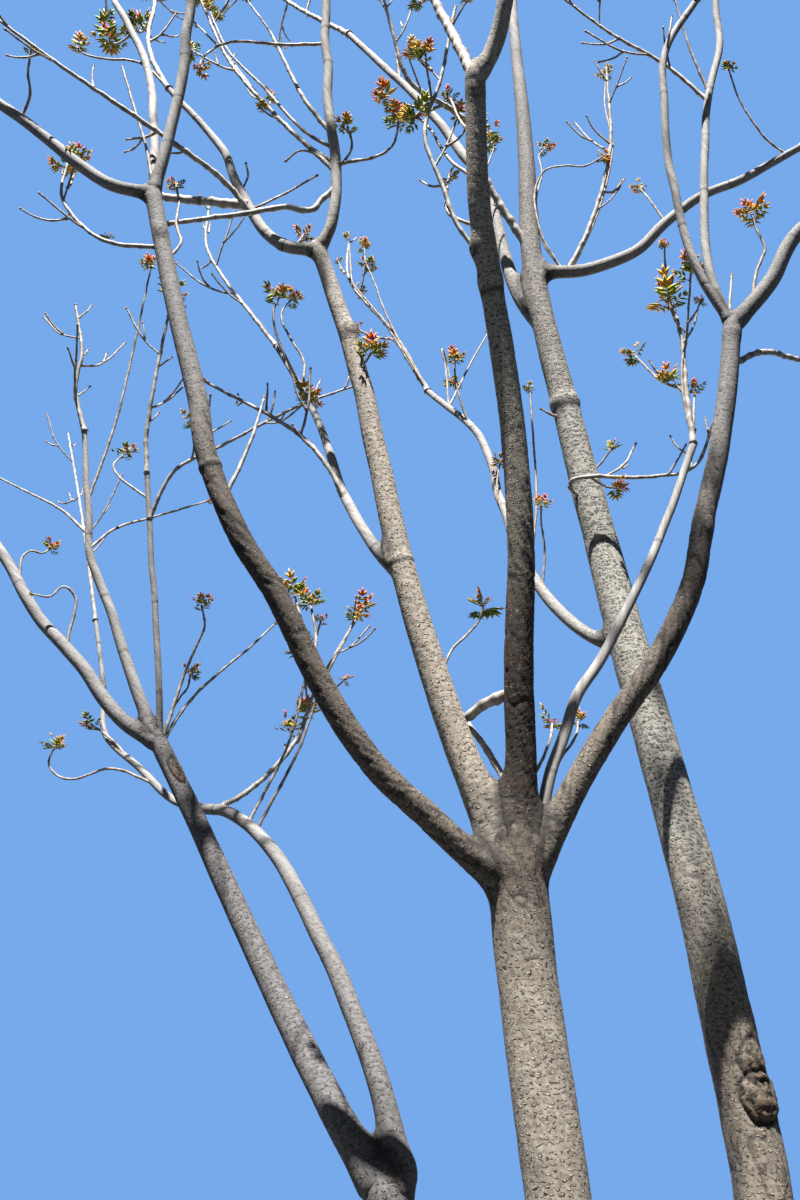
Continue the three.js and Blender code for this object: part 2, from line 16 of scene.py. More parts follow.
import bpy
import numpy as np
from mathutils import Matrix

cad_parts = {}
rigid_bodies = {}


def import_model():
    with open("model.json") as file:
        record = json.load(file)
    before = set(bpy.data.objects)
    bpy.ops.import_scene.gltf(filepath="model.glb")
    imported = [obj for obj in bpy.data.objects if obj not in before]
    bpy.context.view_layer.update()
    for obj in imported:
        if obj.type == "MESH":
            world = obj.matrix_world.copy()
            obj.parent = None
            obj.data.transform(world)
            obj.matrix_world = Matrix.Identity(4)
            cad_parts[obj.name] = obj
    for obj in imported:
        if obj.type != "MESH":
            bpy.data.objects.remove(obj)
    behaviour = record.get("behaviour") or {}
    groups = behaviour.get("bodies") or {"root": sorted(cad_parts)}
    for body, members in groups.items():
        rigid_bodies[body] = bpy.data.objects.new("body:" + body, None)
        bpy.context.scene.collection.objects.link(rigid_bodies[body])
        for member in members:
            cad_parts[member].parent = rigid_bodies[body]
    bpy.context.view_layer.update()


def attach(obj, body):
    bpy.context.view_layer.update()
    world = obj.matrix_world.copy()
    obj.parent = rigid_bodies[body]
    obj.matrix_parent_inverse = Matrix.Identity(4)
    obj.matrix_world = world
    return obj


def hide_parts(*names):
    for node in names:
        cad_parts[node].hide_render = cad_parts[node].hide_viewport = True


LOG = logging.getLogger("tree")
MM = 0.001
BODY = "root"
Array = np.ndarray
Pair = tuple[float, float]
Triple = tuple[float, float, float]
Tone = Stride = Triple

# A span of chance: the least value, and how far chance may go past it
Span = Pair

# The camera where the photograph was taken from: its place, how far it looks up, and its lens
CAMERA_PLACE = (-0.55, -4.19, 1.60)
CAMERA_PITCH = 27.0
FRAME_HEIGHT_PX = 1200
FOCAL_PX = 1200

# Root flare of the three stems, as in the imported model, in metres
FLARE_SWELL = 0.5
FLARE_HEIGHT = 0.21
BUTTRESS_SWELL = 0.12
BUTTRESSES = 5

# The rule by which sprays grow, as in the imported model
LEAF_TURN = 137.5
UPTURN = 0.3
KINK = 0.34
TWIG_TIP = 9.0
TWIG_STEPS = 3
FIRST_TWIG = 0.24
LAST_TWIG = 0.94
SHORTER = 0.6
TWIG_ROOM = 14.0
SAMPLE_STEP = 60.0
SERIES_STRIDE = 1000
STEM_SERIES = 999
PLACE: Span = (0.3, 0.4)
OPEN: Span = (38, 24)
TURN_SPREAD = 40
LENGTH: Span = (0.6, 0.4)
REACH_LOSS = 0.35
TWIG_SHARE = 0.62

# Fine twigs on the limbs: the girth up to which they are slim, a stout one's tip by its foot, first seed
SLIM_GIRTH = 24
STOUT_TIP = 0.7
FINE_SERIES = 70000

# The hash that numbers the cells of a noise: factors of the indexes and seed, shifts and mixing factors
INDEX_FACTORS = (374761393, 668265263, 2246822519)
SEED_FACTOR = 3266489917
MIXING = ((13, 1274126177), (16, 2654435761))
LAST_SHIFT = 15
WORD = 2**32

# Stems at the ground: name, foot, girth at foot and tip, and strides of (length, lean, heading)
GROUND_STEMS = (
    ("trunk", (0, 0, 0), (212, 196), ((700, 3, 255), (950, 8, 240), (710, 7, 215), (240, 6, 235))),
    ("left_foot", (-190, 30, 0), (150, 150), ((620, 14, 165), (1070, 15, 159))),
    ("right_stem", (250, 70, 0), (226, 148), ((670, 27, 19), (1050, 7, 30), (480, 5, 165), (490, 6, 175),
        (330, 9, 160), (350, 9, 165), (420, 10, 145), (490, 9, 145))),
)

# Boughs: name, what each grows from and how far along it, girth at foot and tip, and strides
BOUGHS = (
    ("right_top", "right_stem", 1, (146, 34), ((570, 9, 185), (950, 9, 200), (910, 1, 90), (1070, 2, 110),
        (650, 6, 65))),
    ("bough_e", "trunk", 0.96, (98, 72), ((380, 26, 350), (320, 32, 350), (330, 37, 348), (290, 28, 348),
        (300, 16, 338), (430, 16, 350), (460, 11, 355))),
    ("bough_c", "trunk", 0.97, (114, 76), ((430, 8, 290), (380, 14, 270), (420, 14, 280), (530, 18, 259),
        (480, 22, 248), (300, 25, 251), (470, 22, 266))),
    ("bough_b", "trunk", 0.97, (122, 64), ((300, 19, 184), (410, 19, 188), (540, 16, 192), (510, 12, 195),
        (430, 12, 195), (630, 16, 187))),
    ("bough_a", "trunk", 0.97, (94, 68), ((370, 50, 198), (290, 49, 195), (330, 35, 196), (340, 29, 201),
        (320, 33, 197), (290, 22, 180), (280, 13, 180), (600, 15, 176), (490, 13, 180))),
    ("bough_d", "trunk", 0.95, (48, 31), ((450, 14, 359), (350, 21, 19), (310, 30, 11), (500, 28, 10),
        (550, 23, 13))),
    ("left_outer", "left_foot", 1, (112, 78), ((230, 35, 166), (440, 38, 139), (470, 33, 147),
        (490, 29, 162), (420, 29, 169))),
    ("left_inner", "left_foot", 1, (88, 46), ((80, 46, 346), (120, 19, 141), (170, 19, 144), (340, 28, 137),
        (410, 32, 141), (390, 37, 142), (300, 53, 147), (130, 75, 146))),
    ("bough_a_left", "bough_a", 1, (54, 36), ((180, 78, 187), (160, 54, 184), (410, 50, 187),
        (520, 57, 193))),
    ("bough_a_front", "bough_a", 1, (52, 36), ((320, 10, 325), (490, 9, 305), (230, 12, 275),
        (850, 17, 266))),
    ("bough_a_back", "bough_a", 1, (42, 30), ((570, 15, 119), (730, 19, 130), (660, 25, 148),
        (480, 35, 114))),
    ("bough_b_left", "bough_b", 1, (54, 26), ((160, 79, 180), (430, 30, 169), (270, 21, 161),
        (580, 32, 167))),
    ("bough_b_top", "bough_b", 1, (50, 34), ((130, 27, 330), (760, 5, 240), (550, 5, 245), (720, 12, 285))),
    ("bough_k", "bough_b", 0.43, (50, 22), ((230, 35, 159), (330, 33, 129), (630, 24, 128), (600, 28, 140))),
    ("bough_c_top", "bough_c", 1, (68, 46), ((120, 33, 336), (210, 30, 305), (700, 22, 300))),
    ("bough_e_right", "bough_e", 1, (70, 50), ((270, 42, 347), (260, 33, 335), (510, 71, 345))),
    ("bough_e_top", "bough_e", 1, (38, 29), ((270, 12, 180), (630, 4, 360), (440, 9, 360), (310, 16, 359),
        (340, 4, 360), (670, 5, 20))),
    ("bough_e_front", "bough_e", 1, (38, 30), ((240, 27, 197), (290, 14, 206), (550, 8, 250), (370, 8, 315),
        (330, 29, 349))),
    ("bough_f_right", "right_top", 0.37, (66, 35), ((260, 92, 354), (260, 68, 353), (370, 50, 346),
        (250, 75, 340), (320, 74, 335))),
    ("bough_f_back", "right_stem", 0.88, (58, 33), ((130, 61, 149), (180, 47, 143), (330, 35, 131),
        (550, 25, 120), (640, 22, 112), (630, 37, 133))),
    ("bough_f_left", "right_top", 0.28, (70, 37), ((280, 25, 162), (820, 12, 135), (820, 22, 145),
        (1260, 29, 151))),
    ("bough_g_left", "left_outer", 1, (66, 46), ((200, 56, 180), (350, 40, 177), (360, 41, 175),
        (410, 34, 170), (330, 41, 159))),
    ("bough_g_top", "left_outer", 1, (58, 24), ((280, 27, 184), (380, 22, 188), (300, 23, 190),
        (310, 10, 205), (370, 9, 200))),
    ("bough_g_right", "left_outer", 1, (30, 24), ((420, 11, 240), (520, 11, 230), (330, 10, 230))),
    ("bough_h_left", "left_inner", 1, (38, 20), ((170, 71, 152), (310, 50, 149), (310, 49, 149),
        (260, 17, 129), (430, 17, 145))),
)

# Sprays: name, limb and how far along it, girth, strides of the stem, side twigs, longest twig, seed, and
# the share of the tips that carry leaves
SPRAYS = (
    ("spray_a_left", "bough_a_left", 1, (35, 13), ((570, 38, 197), (750, 21, 206)), 4, 620, 11, 1),
    ("spray_a_front", "bough_a_front", 1, (32, 12), ((610, 26, 287), (720, 25, 255)), 4, 640, 12, 1),
    ("spray_a_back", "bough_a_back", 1, (27, 11), ((580, 30, 121), (700, 31, 106)), 4, 640, 13, 1),
    ("spray_a_side", "bough_a", 0.91, (20, 11), ((240, 80, 178), (280, 43, 174), (110, 22, 166),
        (130, 4, 80)), 2, 260, 14, 0.85),
    ("spray_b_left", "bough_b_left", 1, (26, 12), ((260, 25, 159), (230, 17, 144), (350, 12, 100),
        (630, 31, 113)), 4, 520, 15, 0.5),
    ("spray_b_cross", "bough_b_left", 0.26, (27, 12), ((210, 47, 209), (260, 64, 206), (600, 62, 200),
        (300, 56, 196)), 2, 330, 16, 0.25),
    ("spray_b_top", "bough_b_top", 1, (32, 12), ((560, 9, 280), (810, 8, 205)), 4, 620, 17, 1),
    ("spray_b_up", "bough_b_top", 0.19, (24, 12), ((470, 35, 167), (500, 31, 167),
        (620, 21, 158)), 3, 380, 18, 0.45),
    ("spray_k", "bough_k", 1, (22, 12), ((340, 32, 147), (350, 32, 147), (340, 26, 149),
        (360, 12, 105)), 3, 420, 19, 0),
    ("spray_k_side", "bough_k", 0.32, (24, 12), ((150, 24, 178), (250, 34, 163),
        (580, 52, 169)), 2, 300, 20, 0.1),
    ("spray_c_top", "bough_c_top", 1, (45, 13), ((540, 22, 299), (650, 23, 263)), 4, 640, 21, 1),
    ("spray_c_left", "bough_c", 1, (42, 13), ((310, 17, 135), (280, 17, 150), (710, 18, 185),
        (830, 16, 221)), 4, 540, 22, 1),
    ("spray_c_side", "bough_c", 0.77, (20, 12), ((150, 40, 193), (220, 18, 196), (270, 15, 197),
        (280, 14, 343), (330, 10, 340)), 2, 330, 23, 0.5),
    ("spray_d", "bough_d", 1, (26, 12), ((280, 0, 120), (270, 2, 5), (280, 6, 180)), 3, 360, 24, 0.45),
    ("spray_e_right", "bough_e_right", 1, (46, 13), ((750, 58, 329), (920, 44, 322)), 4, 680, 25, 1),
    ("spray_e_top", "bough_e_top", 1, (27, 12), ((510, 10, 60), (730, 17, 44)), 4, 620, 26, 1),
    ("spray_e_up", "bough_e_top", 0.49, (21, 11), ((280, 36, 181), (320, 51, 184),
        (250, 48, 190)), 2, 340, 27, 0.3),
    ("spray_e_front", "bough_e_front", 1, (30, 12), ((530, 51, 301), (810, 42, 292)), 4, 560, 28, 1),
    ("spray_e_side", "bough_e", 0.92, (26, 12), ((240, 53, 30), (390, 66, 44), (900, 72, 32),
        (800, 42, 48)), 4, 580, 29, 1),
    ("spray_f_right", "bough_f_right", 1, (33, 12), ((690, 74, 30), (800, 56, 42),
        (690, 44, 58)), 5, 640, 30, 1),
    ("spray_f_up", "bough_f_right", 0.11, (26, 12), ((220, 29, 338), (550, 17, 342),
        (510, 4, 305)), 3, 400, 31, 0.5),
    ("spray_f_back", "bough_f_back", 1, (31, 12), ((400, 25, 145), (240, 25, 149), (530, 30, 158),
        (450, 13, 100)), 3, 440, 32, 0.35),
    ("spray_f_left", "bough_f_left", 1, (35, 12), ((620, 38, 149), (740, 35, 144),
        (420, 42, 130)), 5, 620, 33, 0.5),
    ("spray_f_mid", "right_top", 0.4, (44, 12), ((430, 31, 203), (370, 25, 220), (320, 70, 207),
        (290, 18, 202), (250, 17, 222)), 3, 400, 34, 0.5),
    ("spray_top", "right_top", 1, (33, 13), ((510, 11, 50), (640, 20, 111)), 5, 700, 35, 1),
    ("spray_f_low", "right_top", 0.06, (22, 12), ((150, 84, 225), (330, 93, 345), (200, 84, 350),
        (220, 28, 350)), 2, 260, 36, 0.3),
    ("spray_g_left", "bough_g_left", 1, (38, 13), ((590, 48, 150), (840, 33, 130)), 5, 640, 37, 1),
    ("spray_g_top", "bough_g_top", 1, (24, 12), ((260, 16, 194), (180, 8, 305),
        (250, 12, 180)), 3, 360, 38, 0),
    ("spray_g_right", "bough_g_right", 1, (23, 12), ((170, 9, 230), (230, 11, 290),
        (480, 8, 315)), 2, 380, 39, 0.3),
    ("spray_g_side", "bough_g_right", 0.82, (20, 11), ((250, 31, 327), (220, 64, 348), (440, 63, 351),
        (240, 75, 348)), 3, 300, 40, 0.15),
    ("spray_h_left", "bough_h_left", 1, (20, 12), ((430, 20, 138), (510, 24, 132),
        (600, 26, 131)), 3, 480, 41, 0.15),
    ("spray_h_right", "left_inner", 0.97, (24, 12), ((160, 57, 14), (350, 38, 19), (210, 17, 29),
        (470, 25, 14)), 3, 340, 42, 0.55),
)

# Fine twigs on the limbs: limb, how far along it, girth at the foot, size of the tuft at the end (1 is
# usual, 0 is a bare bud), and strides
FINE_TWIGS = (
    ("bough_a", 1, 14, 0, ((240, 11, 172), (370, 17, 176), (210, 17, 175))),
    ("bough_a", 0.89, 14, 0.45, ((120, 28, 28), (140, 17, 145), (140, 10, 98), (140, 16, 137))),
    ("bough_a_left", 0.56, 15, 0.33, ((110, 29, -48), (110, 22, -106), (80, 33, -70))),
    ("bough_a_back", 0.63, 13, 0.98, ((90, 121, 158), (110, 40, 153))),
    ("bough_b_left", 1, 15, 0.72, ((260, 40, 176), (170, 76, 175), (110, 68, 174), (90, 42, 167))),
    ("bough_b_top", 0.54, 17, 0.52, ((180, 101, -173), (260, 91, -176), (80, 137, -158), (100, 148, -158),
        (80, 164, -116))),
    ("bough_b_top", 0.25, 17, 0.45, ((180, 45, 167), (280, 33, 168), (140, 29, 154), (330, 34, 171),
        (240, 22, 159), (190, 19, 152))),
    ("bough_b_top", 0.21, 16, 0.33, ((330, 39, 162), (400, 31, 163), (360, 28, 158), (380, 32, 162))),
    ("bough_b_top", 0.29, 24, 0.39, ((260, 29, 169), (300, 21, 166), (280, 20, 164), (280, 27, 169))),
    ("bough_b_left", 0.07, 12, 0.59, ((80, 24, 54), (50, 30, 70))),
    ("bough_b_top", 0.19, 13, 0.59, ((60, 50, -33), (60, 44, -40), (100, 19, -121))),
    ("bough_b_top", 0.21, 18, 0.85, ((70, 107, -26), (130, 89, -14), (80, 65, -24), (100, 22, -55))),
    ("bough_b_left", 0.3, 13, 0, ((170, 50, 11), (210, 46, 10))),
    ("bough_k", 0.77, 14, 0.78, ((180, 25, -175), (140, 23, -171), (170, 9, -163), (60, 21, -18))),
    ("bough_k", 0.79, 13, 0.59, ((160, 4, 67), (150, 26, 172), (170, 19, 169), (100, 25, 14))),
    ("bough_f_back", 1, 15, 0.45, ((390, 24, 176), (300, 20, 173), (190, 15, 165), (190, 18, 168),
        (120, 8, 137))),
    ("bough_f_back", 1, 15, 0.39, ((400, 23, 171), (360, 31, 173), (220, 30, 167), (180, 9, 115),
        (220, 8, 135))),
    ("bough_b", 0.78, 13, 0.65, ((40, 87, -34), (40, 55, -49))),
    ("bough_b", 0.81, 12, 0.52, ((70, 20, 55), (80, 16, 116))),
    ("bough_f_back", 0.9, 13, 0.59, ((290, 7, 104), (160, 12, 111), (190, 164, 43))),
    ("bough_f_back", 0.9, 13, 0.26, ((210, 24, 36), (200, 24, 38), (300, 25, 23))),
    ("bough_f_back", 0.8, 13, 0.65, ((120, 21, -153), (190, 12, -150), (80, 16, -90))),
    ("bough_f_left", 0.77, 18, 0.33, ((490, 7, -155), (190, 22, -160))),
    ("bough_f_right", 0.12, 14, 0.52, ((200, 24, 7), (270, 21, 6), (410, 14, 6), (140, 6, 37), (200, 6, 150),
        (280, 6, 21))),
    ("bough_f_right", 0.1, 14, 0.52, ((210, 24, 168), (190, 8, 143), (150, 6, 89), (210, 13, 22),
        (140, 7, 114), (80, 31, 25))),
    ("bough_f_right", 0.1, 13, 0.52, ((260, 24, -169), (400, 7, -26), (90, 83, -12), (140, 96, -8),
        (60, 64, -22))),
    ("bough_f_right", 0.5, 13, 0.45, ((220, 20, 160), (80, 24, 134))),
    ("bough_c", 0.81, 15, 0.52, ((170, 48, 156), (180, 15, 97), (140, 22, 77))),
    ("bough_c", 0.87, 16, 0.85, ((210, 34, 145), (260, 22, 137), (160, 30, 125))),
    ("bough_c", 0.92, 14, 0.39, ((180, 24, 137), (190, 18, 123))),
    ("bough_d", 1, 14, 1.15, ((220, 4, -168), (120, 2, -62), (110, 8, -12), (120, 12, -7), (60, 32, -174),
        (140, 12, -173))),
    ("bough_d", 1, 12, 0.52, ((200, 12, 45), (130, 18, 50))),
    ("bough_e_right", 0.12, 15, 0.85, ((190, 14, -6), (130, 22, -6), (80, 18, -168), (90, 7, -154))),
    ("bough_e_front", 0.01, 12, 0, ((130, 12, 44), (160, 14, 32))),
    ("bough_f_right", 0.95, 12, 0.45, ((120, 53, -165), (90, 39, -155), (170, 25, -159), (180, 14, -143))),
    ("bough_e_top", 0.51, 15, 0.2, ((250, 18, -149), (290, 12, -140))),
    ("bough_e_front", 0.82, 13, 0, ((30, 95, -93), (140, 16, -50))),
    ("left_outer", 1, 17, 0.59, ((350, 14, -13), (110, 23, -28), (100, 24, -29), (90, 17, -124))),
    ("left_outer", 1, 16, 0.13, ((150, 24, 20), (120, 30, 19), (170, 40, 11), (180, 44, 9),
        (160, 40, 11))),
    ("left_outer", 1, 13, 0.52, ((200, 13, 9), (100, 30, 7), (50, 8, 77))),
    ("bough_g_top", 0.77, 14, 0.59, ((280, 13, -15), (200, 12, -25), (280, 7, -28), (230, 7, -34),
        (300, 6, -34), (50, 23, -61))),
    ("bough_g_top", 0.66, 14, 0.07, ((230, 45, 165), (200, 57, 167), (220, 58, 167))),
    ("bough_g_top", 0.62, 15, 0.2, ((160, 39, 20), (150, 62, 15), (160, 63, 15), (150, 62, 15))),
    ("bough_g_left", 0.67, 14, 0.52, ((170, 8, 45), (70, 89, 14), (40, 41, 37))),
    ("bough_g_left", 0.4, 15, 0.2, ((290, 8, -120), (100, 129, -156), (70, 93, -152))),
    ("bough_g_right", 0.9, 13, 0.65, ((270, 44, 171), (100, 27, 43))),
    ("bough_h_left", 0.23, 14, 0.65, ((220, 70, 177), (180, 105, 177), (120, 62, 174), (100, 6, 62))),
    ("bough_h_left", 0.38, 13, 0.59, ((150, 44, 158), (150, 53, 160))),
    ("left_inner", 0.83, 14, 0.59, ((420, 24, 9), (280, 16, 17), (270, 23, 14), (130, 25, 28))),
    ("left_inner", 0.86, 13, 0.39, ((430, 23, 23), (320, 15, 54), (340, 15, 49))),
    ("bough_b", 0.19, 12, 0.78, ((380, 9, 150), (130, 36, 23), (100, 39, 29), (90, 25, 52))),
    ("bough_c", 0.12, 14, 0.65, ((180, 44, 53), (180, 40, 59), (150, 46, 76))),
    ("bough_d", 0.2, 12, 0.45, ((170, 29, 38), (130, 40, 37), (100, 34, 66))),
    ("bough_a", 0.32, 12, 0.72, ((130, 20, 116), (130, 25, 132), (110, 25, 125))),
    ("bough_a", 0.32, 12, 0.52, ((120, 13, 69), (150, 14, 134))),
    ("bough_f_back", 0.24, 12, 0.52, ((200, 9, -53), (140, 13, -113), (60, 26, -90))),
    ("bough_f_back", 0.3, 13, 0.39, ((410, 9, 34), (310, 6, 78), (380, 5, 86))),
    ("right_top", 0.09, 12, 0.52, ((80, 63, -25), (100, 43, -27))),
    ("bough_f_back", 0.46, 12, 0.59, ((100, 21, 151), (150, 6, 112), (110, 14, 43))),
    ("bough_b_left", 0.32, 42, 0, ((110, 82, 180), (140, 83, 180), (60, 84, 180), (70, 76, 180),
        (100, 68, 180))),
    ("bough_b_top", 0.15, 27, 0, ((120, 144, -175), (50, 149, -169), (120, 86, -177), (150, 105, -178),
        (120, 103, -177), (110, 103, -177), (110, 104, -177))),
    ("bough_c", 0.24, 46, 0, ((80, 97, 141), (70, 97, 137), (80, 106, 138), (80, 110, 138))),
    ("bough_c", 0.09, 28, 0, ((100, 26, 145), (70, 21, 116), (140, 26, 157), (110, 32, 156),
        (80, 32, 144))),
    ("bough_b_left", 0.39, 10, 0, ((120, 16, 50), (110, 16, 126))),
    ("bough_b_top", 0.2, 11, 0, ((210, 52, 171), (70, 119, 158))),
    ("right_top", 0.17, 22, 0, ((70, 107, -160), (70, 75, -157))),
    ("bough_a", 0.53, 19, 0, ((180, 18, 13), (150, 15, 19), (90, 12, 43), (90, 11, 45))),
)


def unit(vectors: Array) -> Array:
    """Vectors divided by their own length."""
    return vectors / np.linalg.norm(vectors, axis=-1, keepdims=True)


def s_curve(start: float, end: float, values: Array) -> Array:
    """An S curve from 0 at the start to 1 at the end: 3t squared less 2t cubed."""
    t = np.clip((values - start) / (end - start), 0, 1)
    return t * t * (3 - 2 * t)


def bell(values: Array, middle: float, width: float) -> Array:
    """A bell curve: 1 at its middle, and less the further off, as a share of its width."""
    return np.exp(-(((values - middle) / width) ** 2))


def even_turns(count: int) -> Array:
    """Angles that part a full turn evenly, in radians."""
    return 2 * math.pi * np.arange(count) / count


def cell_hash(cells: Array, seed: int) -> Array:
    """A number from 0 to 1 for each whole-number cell, mixed from its three indexes and a seed."""
    indexes = cells.astype(np.int64).astype(np.uint32)
    mixed = (indexes * np.array(INDEX_FACTORS, np.uint32)).sum(axis=-1, dtype=np.uint32)
    mixed = mixed + np.uint32(seed * SEED_FACTOR % WORD)
    for shift, factor in MIXING:
        mixed = (mixed ^ (mixed >> np.uint32(shift))) * np.uint32(factor)
    return (mixed ^ (mixed >> np.uint32(LAST_SHIFT))) / np.float64(WORD)


def smooth_noise(points: Array, seed: int) -> Array:
    """Noise from -1 to 1: values at the eight cell corners round a point, blended by S curves."""
    base = np.floor(points)
    part = points - base
    part = part * part * (3 - 2 * part)
    total = np.zeros(points.shape[:-1])
    for corner in itertools.product((0, 1), repeat=3):
        weight = np.prod(np.where(corner, part, 1 - part), axis=-1)
        total += weight * cell_hash(base + corner, seed)
    return 2 * total - 1


def cell_distances(points: Array, seed: int) -> tuple[Array, Array]:
    """Distances from each point to the nearest and second nearest of spots scattered one to a cell."""
    base = np.floor(points)
    nearest = np.full(points.shape[:-1], np.inf)
    second = nearest.copy()
    for offset in itertools.product((-1, 0, 1), repeat=3):
        cell = base + offset
        spot = cell + np.stack([cell_hash(cell, seed + axis) for axis in range(3)], axis=-1)
        distance = np.linalg.norm(spot - points, axis=-1)
        second = np.minimum(second, np.maximum(nearest, distance))
        nearest = np.minimum(nearest, distance)
    return nearest, second


class Series:
    """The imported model's random series: 32-bit mixing of a counter, the same for the same seed."""

    MASK = WORD - 1
    STEP = 0x6D2B79F5

    def __init__(self, seed: int) -> None:
        """Starts the series at a seed."""
        self.state = seed & self.MASK

    def __call__(self) -> float:
        """The next number, from 0 to 1."""
        self.state = (self.state + self.STEP) & self.MASK
        mixed = ((self.state ^ (self.state >> 15)) * (self.state | 1)) & self.MASK
        mixed ^= (mixed + ((mixed ^ (mixed >> 7)) * (mixed | 61))) & self.MASK
        return ((mixed ^ (mixed >> 14)) & self.MASK) / WORD

    def within(self, span: Span) -> float:
        """The next number, from a span of chance."""
        least, spread = span
        return least + spread * self()

    def swing(self, spread: float) -> float:
        """The next number, from half a spread below nothing to half a spread above."""
        return spread * (self() - 0.5)


class Curve:
    """A cubic along each run between two joints, its headings halfway between one run and the next."""

    def __init__(self, joints: Array, runs: Array, lengths: Array) -> None:
        """Starts with the joints, and the unit directions and lengths of the runs between them."""
        self.joints, self.lengths = joints, lengths
        self.headings = unit(np.vstack([runs[:1], runs]) + np.vstack([runs, runs[-1:]]))
        self.total = float(lengths.sum())

    @classmethod
    def by_strides(cls, start: Array, strides: tuple[Stride, ...]) -> "Curve":
        """A curve from a start and strides of (length, lean, heading), in mm and degrees."""
        table = np.array(strides, float)
        lean, heading = np.radians(table[:, 1]), np.radians(table[:, 2])
        flat = np.sin(lean)
        runs = np.stack([flat * np.cos(heading), flat * np.sin(heading), np.cos(lean)], axis=1)
        joints = np.vstack([start, start + np.cumsum(runs * table[:, :1], axis=0)])
        return cls(joints, runs, table[:, 0])

    @classmethod
    def through(cls, joints: Array) -> "Curve":
        """A curve through given joints."""
        spans = np.diff(joints, axis=0)
        lengths = np.linalg.norm(spans, axis=1)
        return cls(joints, spans / lengths[:, None], lengths)

    def locate(self, fractions: Array) -> tuple[Array, Array]:
        """The run that each fraction of the whole length falls in, and how far along that run."""
        reached = np.atleast_1d(fractions) * self.total
        ends = np.cumsum(self.lengths)
        index = np.minimum(np.searchsorted(ends, reached), len(self.lengths) - 1)
        return index, np.clip((reached - ends[index]) / self.lengths[index] + 1, 0, 1)

    def mixed(self, fractions: Array, weights: Callable[[Array], tuple]) -> Array:
        """Sums the joint and the heading at each end of a run, by four weights.

        Args:
            fractions: shares of the whole length.
            weights: those of the first joint and heading and of the last, from the share of a run.

        Returns:
            One row to a fraction.
        """
        i, s = self.locate(fractions)
        first, first_way, last, last_way = weights(s[:, None])
        length = self.lengths[i][:, None]
        start = first * self.joints[i] + first_way * length * self.headings[i]
        end = last * self.joints[i + 1] + last_way * length * self.headings[i + 1]
        return start + end

    def points(self, fractions: Array) -> Array:
        """Points of the curve."""
        return self.mixed(fractions, lambda s: (
            2 * s**3 - 3 * s**2 + 1, s**3 - 2 * s**2 + s, 3 * s**2 - 2 * s**3, s**3 - s**2))

    def tangents(self, fractions: Array) -> Array:
        """Unit directions of the curve: the cubic's derivative, divided by its length."""
        return unit(self.mixed(fractions, lambda s: (
            6 * s**2 - 6 * s, 3 * s**2 - 4 * s + 1, 6 * s - 6 * s**2, 3 * s**2 - 2 * s)))

    def point(self, fraction: float) -> Array:
        """One point of the curve."""
        return self.points(np.array([fraction]))[0]

    def tangent(self, fraction: float) -> Array:
        """The direction of the curve at one point."""
        return self.tangents(np.array([fraction]))[0]


@dataclass
class Limb:
    """A stem, bough or spray stem: its curve in millimetres, its girths, and what it grows from."""

    name: str
    curve: Curve
    girth: Pair
    parent: str = ""
    flared: bool = False
    twigs: int = 0
    reach: float = 0.0
    seed: int = 0
    leafy: float = 1.0
    at: float = 1.0

    def girth_at(self, fraction: Array | float) -> Array | float:
        """The diameter, which tapers evenly from foot to tip."""
        return self.girth[0] + (self.girth[1] - self.girth[0]) * fraction

    def skin_radius(self, fractions: Array) -> Array:
        """The radius in mm with the root flare: a swell that fades upwards as a falling exponential."""
        radius = self.girth_at(fractions) / 2
        if self.flared:
            height = self.curve.points(fractions)[:, 2] * MM
            radius = radius * (1 + FLARE_SWELL * np.exp(-height / FLARE_HEIGHT))
        return radius

    def grown(self, at: float, strides: tuple[Stride, ...]) -> Curve:
        """The curve of what grows from a place on this limb."""
        return Curve.by_strides(self.curve.point(at), strides)


def plan_limbs() -> dict[str, Limb]:
    """The limbs by name, each grown from its parent's curve."""
    limbs: dict[str, Limb] = {}
    for name, foot, girth, strides in GROUND_STEMS:
        limbs[name] = Limb(name, Curve.by_strides(np.array(foot, float), strides), girth, flared=True)
    for name, parent, at, girth, strides in BOUGHS:
        limbs[name] = Limb(name, limbs[parent].grown(at, strides), girth, parent, at=at)
    return limbs


def plan_sprays(limbs: dict[str, Limb]) -> list[Limb]:
    """The sprays, each with the curve of its stem."""
    return [
        Limb(name, limbs[parent].grown(at, strides), girth, parent, False, twigs, reach, seed, leafy)
        for name, parent, at, girth, strides, twigs, reach, seed, leafy in SPRAYS
    ]


class Crowd:
    """The limbs and spray stems as short straight pieces, to ask how far a point is from each."""

    def __init__(self, members: list[Limb]) -> None:
        """Cuts each member's curve into pieces of about the sample step."""
        steps = [math.ceil(limb.curve.total / SAMPLE_STEP) for limb in members]
        shares = [np.linspace(0, 1, count + 1) for count in steps]
        places = [limb.curve.points(share) for limb, share in zip(members, shares)]
        radii = [limb.girth_at(share) / 2 for limb, share in zip(members, shares)]
        self.starts = np.vstack([place[:-1] for place in places])
        self.spans = np.vstack([np.diff(place, axis=0) for place in places])
        self.radii = np.concatenate([radius[:-1] for radius in radii])
        self.growth = np.concatenate([np.diff(radius) for radius in radii])
        self.firsts = np.cumsum([0, *steps[:-1]])

    def distances(self, point: Array) -> Array:
        """The distance from one point to each member's round skin, in mm."""
        offset = point - self.starts
        along = np.clip((offset * self.spans).sum(1) / (self.spans**2).sum(1), 0, 1)
        gap = np.linalg.norm(offset - along[:, None] * self.spans, axis=1) - self.radii - along * self.growth
        return np.minimum.reduceat(gap, self.firsts)


def opened(direction: Array, open_angle: float, turn: float) -> Array:
    """A direction that opens from another by an angle, turned round it by a second angle."""
    side = unit(np.cross(direction, (1.0, 0.0, 0.0)))
    front = np.cross(direction, side)
    around = math.cos(turn) * side + math.sin(turn) * front
    return direction * math.cos(open_angle) + around * math.sin(open_angle)


